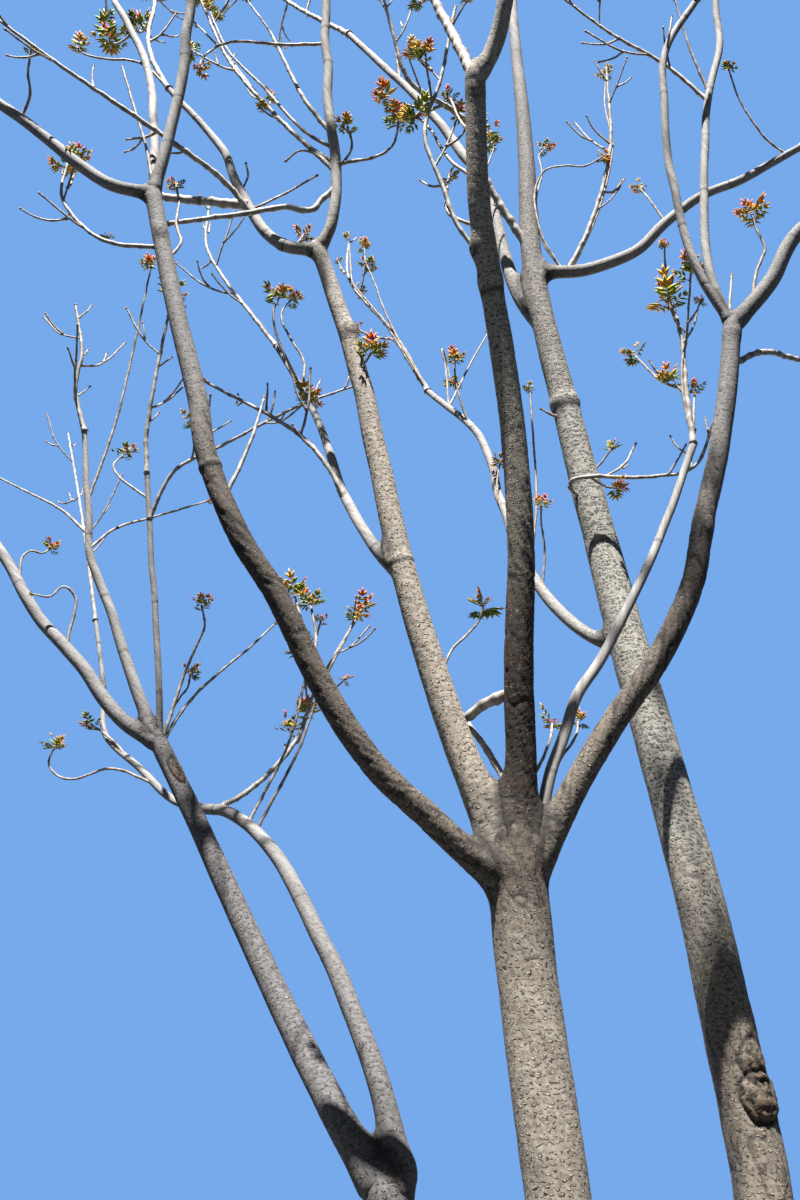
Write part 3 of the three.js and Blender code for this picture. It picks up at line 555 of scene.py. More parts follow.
@dataclass
class Shoot:
    """A twig as joints in mm, its girth at foot and tip, and the size of the tuft at its end, or 0."""

    joints: Array
    girth: Pair
    tuft: float
    seed: int

    @property
    def heading(self) -> Array:
        """The direction of the last step."""
        return unit(self.joints[-1] - self.joints[-2])


@dataclass
class SprayRule:
    """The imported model's rule for side twigs, and for finer ones with series of their own after them."""

    limbs: list[Limb]
    sprays: list[Limb]
    carry: float = 70.0
    stem_step: float = 90.0
    usual_tuft: float = 0.75
    stem_gain: float = 1.15
    side_tuft: Span = (0.6, 0.8)
    side_tuft_series: int = 700
    fine_series: int = 400
    fine_length: float = 190.0
    fine_share: Span = (0.35, 0.8)
    fine_open: Span = (34, 26)
    fine_girth: Pair = (11.0, 7.5)
    fine_bare: float = 0.45
    fine_tuft: Span = (0.32, 0.45)
    stem_spots: tuple[float, float, int] = (0.3, 0.97, 3)
    twig_spot: float = 0.45
    leafy_series: int = 333
    crowd: Crowd = field(init=False)

    def __post_init__(self) -> None:
        """Gathers every limb and stem that a twig has to keep clear of."""
        self.crowd = Crowd(self.limbs + self.sprays)

    def stays_clear(self, start: Array, end: Array, own: int) -> bool:
        """Whether a stretch keeps off the limbs and nearer to its own stem than to any other's."""
        for part in (0.5, 1.0):
            gaps = self.crowd.distances(start + (end - start) * part)
            limbs, stems = gaps[: len(self.limbs)], gaps[len(self.limbs):]
            others = np.delete(stems, own)
            if limbs.min() <= TWIG_ROOM or (others.size and others.min() <= stems[own] + TWIG_ROOM):
                return False
        return True

    def twig(self, start: Array, direction: Array, length: float, draw: Series, own: int) -> Array | None:
        """Lays out one twig in equal steps, after each of which the heading bends up and kinks.

        Args:
            start: where it leaves its stem.
            direction: the heading of its first step.
            length: its full length.
            draw: its series.
            own: the number of its spray.

        Returns:
            Its joints at full length, or else shortened, or nothing where neither keeps clear.
        """
        points, heading = [start], direction
        for _ in range(TWIG_STEPS):
            points.append(points[-1] + heading * length / TWIG_STEPS)
            kink = np.array([draw.swing(1) for _ in range(3)])
            heading = unit(heading + np.array([0, 0, UPTURN]) + kink * KINK)
        full = np.array(points)
        for tried in (full, full[0] + (full - full[0]) * SHORTER):
            if all(self.stays_clear(near, far, own) for near, far in zip(tried, tried[1:])):
                return tried
        return None

    def side_twigs(self, spray: Limb, own: int) -> list[Shoot]:
        """The side twigs of a spray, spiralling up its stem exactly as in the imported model."""
        shoots = []
        for i in range(spray.twigs):
            seed = spray.seed * SERIES_STRIDE + i
            draw = Series(seed)
            place = (i + draw.within(PLACE)) / spray.twigs
            at = FIRST_TWIG + (LAST_TWIG - FIRST_TWIG) * place
            turn = math.radians(LEAF_TURN * (i + spray.seed) + draw.swing(TURN_SPREAD))
            open_angle = math.radians(draw.within(OPEN))
            length = spray.reach * draw.within(LENGTH) * (1 - REACH_LOSS * at)
            direction = opened(spray.curve.tangent(at), open_angle, turn)
            joints = self.twig(spray.curve.point(at), direction, length, draw, own)
            if joints is None:
                continue
            girth = (spray.girth_at(at) * TWIG_SHARE, TWIG_TIP)
            tuft = self.usual_tuft * Series(seed + self.side_tuft_series).within(self.side_tuft)
            shoots.append(Shoot(self.carried(joints), girth, tuft, seed))
        return shoots

    def carried(self, joints: Array) -> Array:
        """The joints and one more, straight on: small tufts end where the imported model's leaves do."""
        return np.vstack([joints, joints[-1] + unit(joints[-1] - joints[-2]) * self.carry])

    def finer_twigs(self, spray: Limb, own: int, twigs: list[Shoot]) -> list[Shoot]:
        """Short twigs on the stem and on each side twig, by the same rule with their own series."""
        spots = [(spray.curve.point(at), spray.curve.tangent(at)) for at in np.linspace(*self.stem_spots)]
        for twig in twigs:
            step = twig.joints[2] - twig.joints[1]
            spots.append((twig.joints[1] + step * self.twig_spot, unit(step)))
        shoots = []
        for seed, (start, along) in enumerate(spots, spray.seed * SERIES_STRIDE + self.fine_series):
            draw = Series(seed)
            direction = opened(along, math.radians(draw.within(self.fine_open)), math.radians(360 * draw()))
            joints = self.twig(start, direction, self.fine_length * draw.within(self.fine_share), draw, own)
            if joints is None:
                continue
            tuft = draw.within(self.fine_tuft) if draw() > self.fine_bare else 0.0
            shoots.append(Shoot(joints, self.fine_girth, tuft, seed))
        return shoots

    def stem_shoot(self, spray: Limb) -> Shoot:
        """The stem of a spray, cut into short steps along its curve."""
        steps = max(4, round(spray.curve.total / self.stem_step))
        joints = self.carried(spray.curve.points(np.linspace(0, 1, steps + 1)))
        seed = spray.seed * SERIES_STRIDE + STEM_SERIES
        return Shoot(joints, spray.girth, self.usual_tuft * self.stem_gain, seed)

    def grow(self) -> list[Shoot]:
        """Every shoot of every spray: stem, side twigs and finer twigs, some of them bare."""
        shoots = []
        for own, spray in enumerate(self.sprays):
            twigs = self.side_twigs(spray, own)
            for shoot in (self.stem_shoot(spray), *twigs, *self.finer_twigs(spray, own, twigs)):
                leafy = Series(shoot.seed + self.leafy_series)() < spray.leafy
                shoots.append(shoot if leafy else replace(shoot, tuft=0.0))
        return shoots


def fine_shoots(limbs: dict[str, Limb]) -> list[Shoot]:
    """The fine twigs that stand on the limbs themselves, by their strides."""
    shoots = []
    for seed, (name, at, girth, tuft, strides) in enumerate(FINE_TWIGS, FINE_SERIES):
        joints = limbs[name].grown(at, strides).points(np.linspace(0, 1, 2 * len(strides) + 1))
        tip = TWIG_TIP if girth <= SLIM_GIRTH else STOUT_TIP * girth
        shoots.append(Shoot(joints, (girth, tip), tuft, seed))
    return shoots


def tube_faces(rings: int, sides: int) -> tuple[Array, Array]:
    """Faces of a tube: quads between rings, and fans to a pole at foot and tip, numbered last."""
    side = np.arange(sides)
    after = (side + 1) % sides
    low = np.arange(rings - 1)[:, None] * sides
    high = low + sides
    quads = np.stack([low + side, low + after, high + after, high + side], axis=-1).reshape(-1, 4)
    top, pole = (rings - 1) * sides, rings * sides
    foot = np.stack([np.full(sides, pole), after, side], axis=-1)
    tip = np.stack([np.full(sides, pole + 1), top + side, top + after], axis=-1)
    return quads, np.vstack([foot, tip])


@dataclass
class Skin:
    """Points and faces of closed surfaces, with a value of each named layer at each point."""

    points: list[Array] = field(default_factory=list)
    quads: list[Array] = field(default_factory=list)
    triangles: list[Array] = field(default_factory=list)
    layers: dict[str, list[Array]] = field(default_factory=dict)
    count: int = 0

    def add(self, points: Array, quads: Array, triangles: Array, **layers: Array) -> None:
        """Adds one surface, its faces numbered from its own first point."""
        self.points.append(points)
        self.quads.append(quads + self.count)
        self.triangles.append(triangles + self.count)
        for name, values in layers.items():
            self.layers.setdefault(name, []).append(values)
        self.count += len(points)

    def add_triangles(self, points: Array, triangles: Array) -> None:
        """Adds a surface of triangles only."""
        self.add(points, np.empty((0, 4), int), triangles)

    def add_tube(self, grid: Array, poles: Array, **layers: Array) -> None:
        """Adds a closed tube: a grid of points, one row to a ring, and a pole point at each end."""
        quads, fans = tube_faces(*grid.shape[:2])
        self.add(np.vstack([grid.reshape(-1, 3), poles]), quads, fans, **layers)

    def build(self, name: str, material: bpy.types.Material) -> bpy.types.Object:
        """Puts everything into one mesh object at the origin.

        Args:
            name: the piece's name.
            material: its finish.

        Returns:
            The new object, smooth-shaded and linked into the scene.
        """
        points = np.vstack(self.points)
        quads, triangles = np.vstack(self.quads), np.vstack(self.triangles)
        mesh = bpy.data.meshes.new(name)
        mesh.vertices.add(len(points))
        mesh.vertices.foreach_set("co", points.astype(np.float32).ravel())
        corners = np.concatenate([quads.ravel(), triangles.ravel()])
        mesh.loops.add(len(corners))
        mesh.loops.foreach_set("vertex_index", corners.astype(np.int32))
        mesh.polygons.add(len(quads) + len(triangles))
        starts = np.concatenate([np.arange(len(quads)) * 4, quads.size + np.arange(len(triangles)) * 3])
        mesh.polygons.foreach_set("loop_start", starts.astype(np.int32))
        mesh.update(calc_edges=True)
        mesh.shade_smooth()
        for layer, parts in self.layers.items():
            values = np.concatenate(parts).astype(np.float32)
            kind, part = ("FLOAT_VECTOR", "vector") if values.ndim == 2 else ("FLOAT", "value")
            mesh.attributes.new(layer, kind, "POINT").data.foreach_set(part, values.ravel())
        mesh.materials.append(material)
        piece = bpy.data.objects.new(name, mesh)
        bpy.context.scene.collection.objects.link(piece)
        LOG.info("%s: %d points, %d triangles", name, len(points), 2 * len(quads) + len(triangles))
        return piece


def square_frames(tangents: Array) -> tuple[Array, Array]:
    """Two directions square to each tangent, by the one of X and Y that the tangents keep off."""
    axis = int(np.abs(tangents[:, 1]).max() < np.abs(tangents[:, 0]).max())
    side = unit(np.cross(tangents, np.eye(3)[axis]))
    return side, np.cross(tangents, side)


def ring_ways(side: Array, front: Array, angles: Array) -> Array:
    """Unit directions out from a centreline, one row to a ring and one column to an angle."""
    cosine, sine = np.cos(angles)[None, :, None], np.sin(angles)[None, :, None]
    return cosine * side[:, None] + sine * front[:, None]


@dataclass(frozen=True)
class Fork:
    """A meeting of two limbs: the other limb, the place, and how wide they flow together, in metres."""

    other: Limb
    place: Array
    width: float


# A limb's straight pieces near a fork, in mm, and the least and most that two skins count as open
PIECE_MM = 40
OPEN_LIMITS = (0.15, 2.0)


def skin_gaps(points: Array, limb: Limb, centre: Array, span: float) -> tuple[Array, Array]:
    """How far points are from a limb's skin near a fork, by its nearest straight piece, and which way."""
    steps = max(4, round(limb.curve.total / PIECE_MM))
    fractions = np.linspace(0, 1, steps + 1)
    places = limb.curve.points(fractions) * MM
    radii = limb.skin_radius(fractions) * MM
    near = np.linalg.norm((places[:-1] + places[1:]) / 2 - centre, axis=1) < span
    start, run = places[:-1][near], np.diff(places, axis=0)[near]
    radius, growth = radii[:-1][near], np.diff(radii)[near]
    offset = points[:, None] - start
    along = np.clip((offset * run).sum(-1) / (run**2).sum(-1), 0, 1)
    apart = offset - along[..., None] * run
    reach = np.linalg.norm(apart, axis=-1)
    gap = reach - radius - along * growth
    best = gap.argmin(axis=1)
    rows = np.arange(len(points))
    return gap[rows, best], apart[rows, best] / np.maximum(reach[rows, best], 1e-6)[:, None]


def fillet_rise(gap: Array, facing: Array, width: Array) -> Array:
    """How far a skin rises to flow smoothly into another.

    It solves the smooth union of two distances a and b, the lesser of them less the square of
    (width - |a - b|) over four widths, along the skin's own normal, where b changes by facing. Where the
    two skins meet, each has risen by a quarter of the width, and it stays there inside the other.
    """
    u = np.clip(1 - facing, *OPEN_LIMITS)
    left = width - gap
    root = np.sqrt(np.maximum(width**2 - width * u * left, 0))
    rise = (2 * width - u * left - 2 * root) / u**2
    rise = np.where(gap < u * width / 4, width / 4, rise)
    return np.where(gap >= width, 0, np.clip(rise, 0, width / 4))


class MarkKind(Enum):
    """What a mark in the bark is."""

    WOUND = "wound"
    KNOB = "knob"
    RING = "ring"
    TEAR = "tear"
    SLIT = "slit"


@dataclass(frozen=True)
class Mark:
    """A mark on a limb: how far along, which way it faces, its length, width and height in mm."""

    at: float
    heading: float
    length: float
    width: float
    height: float
    kind: MarkKind


WOUND, KNOB, RING, TEAR, SLIT = MarkKind
MARKS = {
    "right_stem": (
        Mark(0.472, -62, 88, 84, 21, WOUND),
        Mark(0.498, -62, 78, 60, 10, WOUND),
        Mark(0.520, -60, 26, 24, 8, KNOB),
        Mark(0.422, -98, 26, 20, 4, KNOB),
        Mark(0.420, -52, 24, 20, 4, KNOB),
        Mark(0.395, -40, 60, 44, 5, TEAR),
        Mark(0.62, 80, 80, 70, 16, KNOB),
    ),
    "right_top": (Mark(0.185, 0, 34, 0, 9, RING),),
    "bough_c": (Mark(0.785, 185, 62, 52, 20, KNOB), Mark(0.742, 0, 40, 0, 6, RING)),
    "bough_b": (Mark(0.84, -60, 50, 44, 13, KNOB), Mark(0.465, 0, 12, 0, 3, RING)),
    "bough_a": (Mark(0.578, 0, 16, 0, 5, RING), Mark(0.93, -80, 50, 40, 9, KNOB)),
    "bough_e": (Mark(0.62, -60, 50, 44, 8, KNOB),),
    "bough_b_left": (Mark(0.11, 0, 12, 0, 3, RING),),
    "left_outer": (Mark(0.93, -50, 70, 40, 10, TEAR), Mark(0.05, -42, 74, 22, 6, TEAR)),
    "left_inner": (Mark(0.06, -128, 60, 20, 6, TEAR),),
    "trunk": (
        Mark(0.975, -96, 5, 20, 2, SLIT),
        Mark(0.898, -80, 5, 26, 2, SLIT),
        Mark(0.55, 100, 80, 60, 14, KNOB),
        Mark(0.3, 10, 70, 60, 12, KNOB),
    ),
}


class BarkKind(Enum):
    """The barks. The mesh of each limb carries the share of each but the first."""

    NETTED = 0
    FISSURED = 1
    DOTTED = 2
    SMOOTH = 3


@dataclass(frozen=True)
class BarkFinish:
    """One bark: its four colours, its shares of flecks, specks and whole rings, and its relief in mm."""

    ground: Tone
    shade: Tone
    fleck: Tone
    speck: Tone
    flecks: float
    specks: float
    rings: float
    net_mm: float
    fissure_mm: float


NETTED, FISSURED, DOTTED, SMOOTH = BarkKind
FINISHES = {
    NETTED: BarkFinish(
        ground=(0.66, 0.63, 0.58), shade=(0.53, 0.48, 0.43), fleck=(0.84, 0.81, 0.75),
        speck=(0.19, 0.15, 0.11), flecks=0.85, specks=0.94, rings=0.25, net_mm=0.6, fissure_mm=0.3,
    ),
    FISSURED: BarkFinish(
        ground=(0.24, 0.18, 0.13), shade=(0.13, 0.10, 0.07), fleck=(0.56, 0.49, 0.40),
        speck=(0.06, 0.05, 0.03), flecks=0.62, specks=0.74, rings=0.0, net_mm=0.9, fissure_mm=3.4,
    ),
    DOTTED: BarkFinish(
        ground=(0.60, 0.59, 0.56), shade=(0.48, 0.46, 0.43), fleck=(0.79, 0.78, 0.74),
        speck=(0.13, 0.11, 0.09), flecks=0.75, specks=0.88, rings=0.9, net_mm=0.5, fissure_mm=0.2,
    ),
    SMOOTH: BarkFinish(
        ground=(0.42, 0.41, 0.41), shade=(0.31, 0.30, 0.30), fleck=(0.58, 0.57, 0.57),
        speck=(0.14, 0.12, 0.11), flecks=0.50, specks=0.78, rings=0.35, net_mm=0.4, fissure_mm=0.1,
    ),
}
YOUNG_WOOD = (0.55, 0.54, 0.53)
YOUNG_SHADE = (0.34, 0.32, 0.32)
CRACK_TONE = (0.10, 0.08, 0.06)
DOT_TONE = (0.15, 0.13, 0.12)
TORN_WOOD = (0.46, 0.37, 0.29)
TORN_SHADE = (0.17, 0.12, 0.09)

# The barks that a limb turns to, each between two lengths in metres; the rest keep their parent's
LIMB_BARK = {
    "trunk": ((NETTED, -1.0, 0.0), (FISSURED, 2.25, 2.75)),
    "left_foot": ((SMOOTH, -1.0, 0.0),),
    "right_stem": ((FISSURED, -3.0, 7.0), (DOTTED, 2.2, 3.2)),
    "right_top": ((SMOOTH, 0.5, 2.2),),
    "bough_a": ((FISSURED, -0.9, 2.4), (SMOOTH, 1.8, 2.5)),
    "bough_b": ((NETTED, 0.0, 0.45),),
    "bough_c": ((FISSURED, 0.02, 0.4), (NETTED, 0.9, 1.7)),
    "bough_e": ((FISSURED, -0.6, 2.6), (SMOOTH, 1.2, 2.2)),
}


@dataclass(frozen=True)
class BarkPlan:
    """Which bark lies where. Each limb starts with what its parent has at the fork."""

    limbs: dict[str, Limb]
    settle_length: float = 0.3
    old_radius: Pair = (0.019, 0.044)

    def kinds(self, limb: Limb, fractions: Array) -> Array:
        """The share of each bark, one row to a fraction."""
        parent = self.limbs.get(limb.parent)
        start = self.kinds(parent, np.array([limb.at])) if parent else np.zeros((1, len(BarkKind)))
        shares = np.repeat(start, len(fractions), axis=0)
        for kind, low, high in LIMB_BARK.get(limb.name, ()):
            change = s_curve(low, high, fractions * limb.curve.total * MM)[:, None]
            shares = shares + (np.eye(len(BarkKind))[kind.value] - shares) * change
        return shares

    def age(self, limb: Limb, fractions: Array) -> Array:
        """0 for young wood and 1 for old bark, by the radius, from the parent's age at the fork."""
        own = s_curve(*self.old_radius, limb.girth_at(fractions) / 2 * MM)
        parent = self.limbs.get(limb.parent)
        if parent is None:
            return own
        start = self.age(parent, np.array([limb.at]))[0]
        return start + (own - start) * s_curve(0, self.settle_length, fractions * limb.curve.total * MM)


class Pattern(Enum):
    """The noises of a bark: a cell's size across and along the limb in metres, and its own seed."""

    BROAD = (0.07, 0.16, 2)
    FINE = (0.008, 0.008, 3)
    WARP = (0.03, 0.03, 5)
    FISSURE = (0.017, 0.11, 9)
    TORN_WARP = (0.022, 0.022, 21)
    TORN_EDGE = (0.016, 0.04, 22)
    FIBRES = (0.007, 0.03, 24)
    SHREDS = (0.014, 0.018, 25)
    # Patches of the painted crotch shade and the darker crotch bark
    GRIME = (0.02, 0.05, 27)


def with_poles(values: Array) -> Array:
    """A grid's values by point, and those of its first and last ring again for the poles."""
    return np.concatenate([values.reshape(-1, *values.shape[2:]), values[[0, -1], 0]])


@dataclass
class Relief:
    """What the bark adds at each point of a limb's grid: height in metres, darkening by cracks and painted
    crotch shade, and torn wood.
    """

    height: Array
    crack: Array
    torn: Array


@dataclass
class BarkSkin:
    """The skin of one limb: a grid of rings and sides, with its fork fillets, marks and relief."""

    limb: Limb
    plan: BarkPlan
    forks: list[Fork]
    marks: tuple[Mark, ...]
    seed: int
    ring_step: float = 0.0065
    fine_girth: float = 60.0
    coarse_step: float = 0.0085
    slant: float = 0.42
    seed_shift: float = 11.3
    scar_gap: float = 0.0215
    dome: float = 1.5
    cap: float = 1.8
    foot_shear: float = 0.42
    least_height: float = 0.0005
    sway_share: float = 0.3
    sway_length: float = 0.17
    sway_radius: Pair = (0.02, 0.05)
    sway_series: tuple[int, int] = (61, 62)
    fork_room: float = 0.24
    fork_reach: float = 3.2
    seam_width: float = 0.009
    grime_reach: float = 0.6
    net_cell: float = 0.021
    net_stretch: float = 1.8
    net_warp: float = 0.35
    net_line: float = 0.3
    net_dome: float = 0.55
    net_tone: float = 0.3
    ridge_from: float = 0.80
    deep_fissure_mm: float = 2.5
    unevenness: float = 0.03
    first_collar: Span = (0.12, 0.2)
    collar_gap: Span = (0.2, 0.5)
    collar_strength: Span = (0.5, 0.5)
    plate_cell: Triple = (0.04, 0.04, 0.05)
    plate_seed: int = 23

    def lay_grid(self) -> None:
        """Lays out centres, directions and radii, one row to a ring and one column to a side.

        Past the tip the rings go on over half a ball, drawn out along the limb. The lift is the angle by
        which a ring's normals turn towards the limb's own direction.
        """
        step = self.ring_step if self.limb.girth[0] > self.fine_girth else self.coarse_step
        self.total = self.limb.curve.total * MM
        rings = max(12, math.ceil(self.total / step))
        tip = self.limb.skin_radius(np.array([1.0]))[0] * MM
        dome = np.linspace(0, self.dome, max(4, math.ceil(self.dome * tip / step)) + 1)[1:]
        self.fractions = np.append(np.linspace(0, 1, rings), np.ones(len(dome)))
        self.lift = np.append(np.zeros(rings), dome)
        self.base = self.limb.skin_radius(self.fractions) * MM
        self.round = 2 * math.pi * float(np.median(self.base))
        self.angles = even_turns(max(10, math.ceil(self.round / step)))
        self.tangents = self.limb.curve.tangents(self.fractions)
        side, front = square_frames(self.tangents)
        drawn = self.base * np.sin(self.lift) * (self.cap - 1)
        centres = self.limb.curve.points(self.fractions) * MM
        self.centres = centres + self.sway(side, front) + self.tangents * drawn[:, None]
        self.around = ring_ways(side, front, self.angles)
        forward = self.tangents * np.sin(self.lift)[:, None]
        self.outward = self.around * np.cos(self.lift)[:, None, None] + forward[:, None]
        self.along = self.fractions * self.total + self.base * np.sin(self.lift) * self.cap
        self.grain = self.straightened()

    def sway(self, side: Array, front: Array) -> Array:
        """Small bends of a slim limb from one year's growth to the next, none at its ends."""
        slim = 1 - s_curve(*self.sway_radius, self.base)
        amount = self.base * self.sway_share * slim * np.sin(np.pi * self.fractions)
        years = self.fractions * self.limb.curve.total * MM / self.sway_length
        place = np.stack([years, *np.zeros((2, len(years)))], axis=-1)
        bends = [smooth_noise(place, self.seed + series)[:, None] for series in self.sway_series]
        return (bends[0] * side + bends[1] * front) * amount[:, None]

    def straightened(self) -> Array:
        """The pattern's own space: the limb straightened, and turned so that marks slant evenly."""
        turn = np.cumsum(self.slant * np.gradient(self.along) / self.base)
        angle = self.angles[None] + turn[:, None]
        radius = (self.base * np.cos(self.lift))[:, None]
        along = np.broadcast_to(self.along[:, None], angle.shape) + self.seed * self.seed_shift
        return np.stack([radius * np.cos(angle), radius * np.sin(angle), along], axis=-1)

    def noise(self, pattern: Pattern) -> Array:
        """One of the noises all over the grid, from -1 to 1."""
        across, along, series = pattern.value
        return smooth_noise(self.grain / np.array([across, across, along]), self.seed + series)

    def base_radius(self) -> Array:
        """The plain radius all over the grid, with the ribs of the root flare where the limb has one."""
        base = self.base[:, None] * np.ones(len(self.angles))
        if self.limb.flared:
            swell = np.exp(-self.centres[:, 2:3] / FLARE_HEIGHT)
            ribs = np.cos(BUTTRESSES * self.angles)[None] + 0.5 * np.cos(2 * self.angles + self.seed)[None]
            base = base * (1 + BUTTRESS_SWELL * ribs * swell)
        return base

    def fork_rise(self, points: Array) -> tuple[Array, ...]:
        """The greatest rise that any fork asks for at each point, how near a seam it is, and its crotch
        darkening.

        The width shrinks where the two skins run nearly the same way, so that no bulge shows there. The
        crotch darkening is painted shade deep in the crotch, and partly the crotch's own darker bark.
        """
        flat, normals = points.reshape(-1, 3), self.outward.reshape(-1, 3)
        rise, seam, crotch_shade_and_grime = (np.zeros(len(flat)) for _ in range(3))
        for fork in self.forks:
            reach = self.fork_room + self.fork_reach * fork.width
            away = np.linalg.norm(flat - fork.place, axis=1)
            close = np.flatnonzero(away < reach)
            if not close.size:
                continue
            gap, way = skin_gaps(flat[close], fork.other, fork.place, reach + 0.2)
            facing = (normals[close] * way).sum(-1)
            width = fork.width * np.clip((1 - facing) / 0.7, 0.1, 1)
            fade = 1 - s_curve(reach * 0.7, reach, away[close])
            past = gap - np.clip(1 - facing, *OPEN_LIMITS) * width / 4
            # How deep a point lies in the crotch; the painted shade and the darker bark are strongest there
            hollow = np.exp(-np.maximum(past, 0) / fork.width / self.grime_reach)
            for kept, found in (
                (rise, fillet_rise(gap, facing, width) * fade),
                (seam, fade * s_curve(0.85, 0.2, facing) * bell(past, 0, self.seam_width)),
                (crotch_shade_and_grime, fade * s_curve(0.97, 0.35, facing) * hollow),
            ):
                kept[close] = np.maximum(kept[close], found)
        return tuple(values.reshape(points.shape[:2]) for values in (rise, seam, crotch_shade_and_grime))

    def relief(self, age: Array, kinds: Array) -> Relief:
        """The relief of the bark itself.

        Cells give a net of fine cracks with domes between them, and a ridged noise the long fissures. Both
        are stretched along the grain.
        """
        net_mm = (kinds @ [finish.net_mm for finish in FINISHES.values()])[:, None]
        fissure_mm = (kinds @ [finish.fissure_mm for finish in FINISHES.values()])[:, None]
        warp = self.net_warp * self.noise(Pattern.WARP)[..., None]
        cells = self.grain / (self.net_cell * np.array([1, 1, self.net_stretch])) + warp
        nearest, second = cell_distances(cells, self.seed)
        net = 1 - s_curve(0.0, self.net_line, second - nearest)
        fissure = s_curve(self.ridge_from, 1.0, 1 - np.abs(self.noise(Pattern.FISSURE)))
        height = age * MM * (net_mm * (self.net_dome * (1 - nearest) - net) - fissure_mm * fissure)
        uneven = self.noise(Pattern.BROAD) * self.unevenness * self.base[:, None]
        height += uneven + self.noise(Pattern.FINE) * MM * (0.1 + 0.3 * age)
        net_crack = self.net_tone * net * np.minimum(1, net_mm)
        crack = age * (net_crack + fissure * np.minimum(1, fissure_mm / self.deep_fissure_mm))
        return Relief(height, np.clip(crack, 0, 1), np.zeros(height.shape))

    def add_collars(self, relief: Relief, age: Array) -> None:
        """Adds a low ridge with a dark groove under it for each year's growth, on the younger wood."""
        draw = Series(self.seed * 31 + 7)
        height, crack = np.zeros((2, len(self.along)))
        place = draw.within(self.first_collar)
        while place < self.total:
            strength = draw.within(self.collar_strength)
            away = self.along - place
            height += strength * (0.0009 * bell(away, 0, 0.009) - 0.0008 * bell(away, -0.011, 0.004))
            crack += strength * bell(away, -0.009, 0.0035)
            place += draw.within(self.collar_gap)
        young = 1 - 0.85 * age
        relief.height += height[:, None] * young
        relief.crack += crack[:, None] * young

    def add_mark(self, mark: Mark, relief: Relief) -> None:
        """Adds one mark, by distances from its middle as shares of its own length and width."""
        away = (self.along - mark.at * self.total)[:, None] / (mark.length * MM)
        rise = mark.height * MM
        if mark.kind is RING:
            relief.height += rise * bell(away, 0, 1)
            relief.crack += 0.8 * bell(away, -1.1, 0.35)
            return
        heading = math.radians(mark.heading)
        facing = self.around @ np.array([math.cos(heading), math.sin(heading), 0])
        aside = np.arccos(np.clip(facing, -1, 1)) * self.base[:, None] / (mark.width * MM)
        spread = np.sqrt(away**2 + aside**2)
        if mark.kind is SLIT:
            cut = bell(away + 1.5 * aside**2, 0, 1) * np.exp(-(aside**4))
            relief.height -= rise * cut
            relief.crack += 0.8 * cut
        elif mark.kind is KNOB:
            relief.height += rise * np.exp(-1.6 * spread**2)
            relief.crack += 0.7 * bell(spread, 0.55, 0.16) + bell(spread, 0, 0.2)
        else:
            self.add_tear(relief, away, spread, rise, 1.0 if mark.kind is WOUND else 0.25)

    def add_tear(self, relief: Relief, away: Array, spread: Array, rise: float, lift: float) -> None:
        """Adds torn wood: plates with cracks between, fibres, shreds and a rim, most ragged at its foot.

        Args:
            relief: the limb's relief.
            away: how far up from its middle each ring is, as a share of its length.
            spread: how far from its middle each point is, as a share of its size.
            rise: its height in metres.
            lift: the share of that height to which its middle swells.
        """
        low_side = s_curve(0.2, -0.8, away)
        edge = spread + (0.14 + 0.1 * low_side) * self.noise(Pattern.TORN_EDGE)
        body = np.clip(1 - edge**2, 0, None)
        inside = s_curve(0.0, 0.15, body)
        rim = bell(edge, 1.0, 0.09) * (1 + 0.8 * low_side)
        cells = self.grain / np.array(self.plate_cell) + 0.9 * self.noise(Pattern.TORN_WARP)[..., None]
        nearest, second = cell_distances(cells, self.seed + self.plate_seed)
        gaping = 1 - s_curve(0.0, 0.1, second - nearest)
        fibres, shreds = self.noise(Pattern.FIBRES), self.noise(Pattern.SHREDS)
        plates = 0.1 * (1 - nearest) - 0.3 * gaping + 0.12 * fibres
        plates = plates + 0.22 * shreds * s_curve(0.5, -0.5, away)
        relief.height += rise * (lift * body**0.6 + inside * plates - 0.35 * rim)
        dark = 0.9 * rim + 0.9 * inside * gaping
        relief.crack += dark + 0.6 * inside * s_curve(-0.2, -0.7, shreds + 0.5 * fibres)
        relief.torn += inside * (0.3 + 0.7 * s_curve(0.35, -0.55, away))

    def flat_foot(self, points: Array) -> Array:
        """Slides each column of the lowest rings along the limb, so that the first lies on the ground."""
        shift = -points[0, :, 2] / self.tangents[0, 2]
        fade = np.clip(1 - self.along / self.foot_shear, 0, 1)[:, None, None] ** 2
        moved = points + self.tangents[0] * shift[None, :, None] * fade
        moved[0, :, 2] = 0
        return np.concatenate([moved[:1], np.maximum(moved[1:], [-np.inf, -np.inf, self.least_height])])

    def layers(self, relief: Relief, age: Array, kinds: Array) -> dict[str, Array]:
        """What the mesh carries at each point: its grain, darkening by cracks and painted crotch shade, age,
        torn wood, scars and barks.
        """
        scars = float(max(6, round(self.round / self.scar_gap)))
        fields = {
            "grain": self.grain, "crack": np.clip(relief.crack, 0, 1), "age": age,
            "torn": np.clip(relief.torn, 0, 1), "scars": np.full(age.shape, scars),
        }
        for kind in list(BarkKind)[1:]:
            fields[kind.name.lower()] = np.broadcast_to(kinds[:, kind.value, None], age.shape)
        return {name: with_poles(values) for name, values in fields.items()}

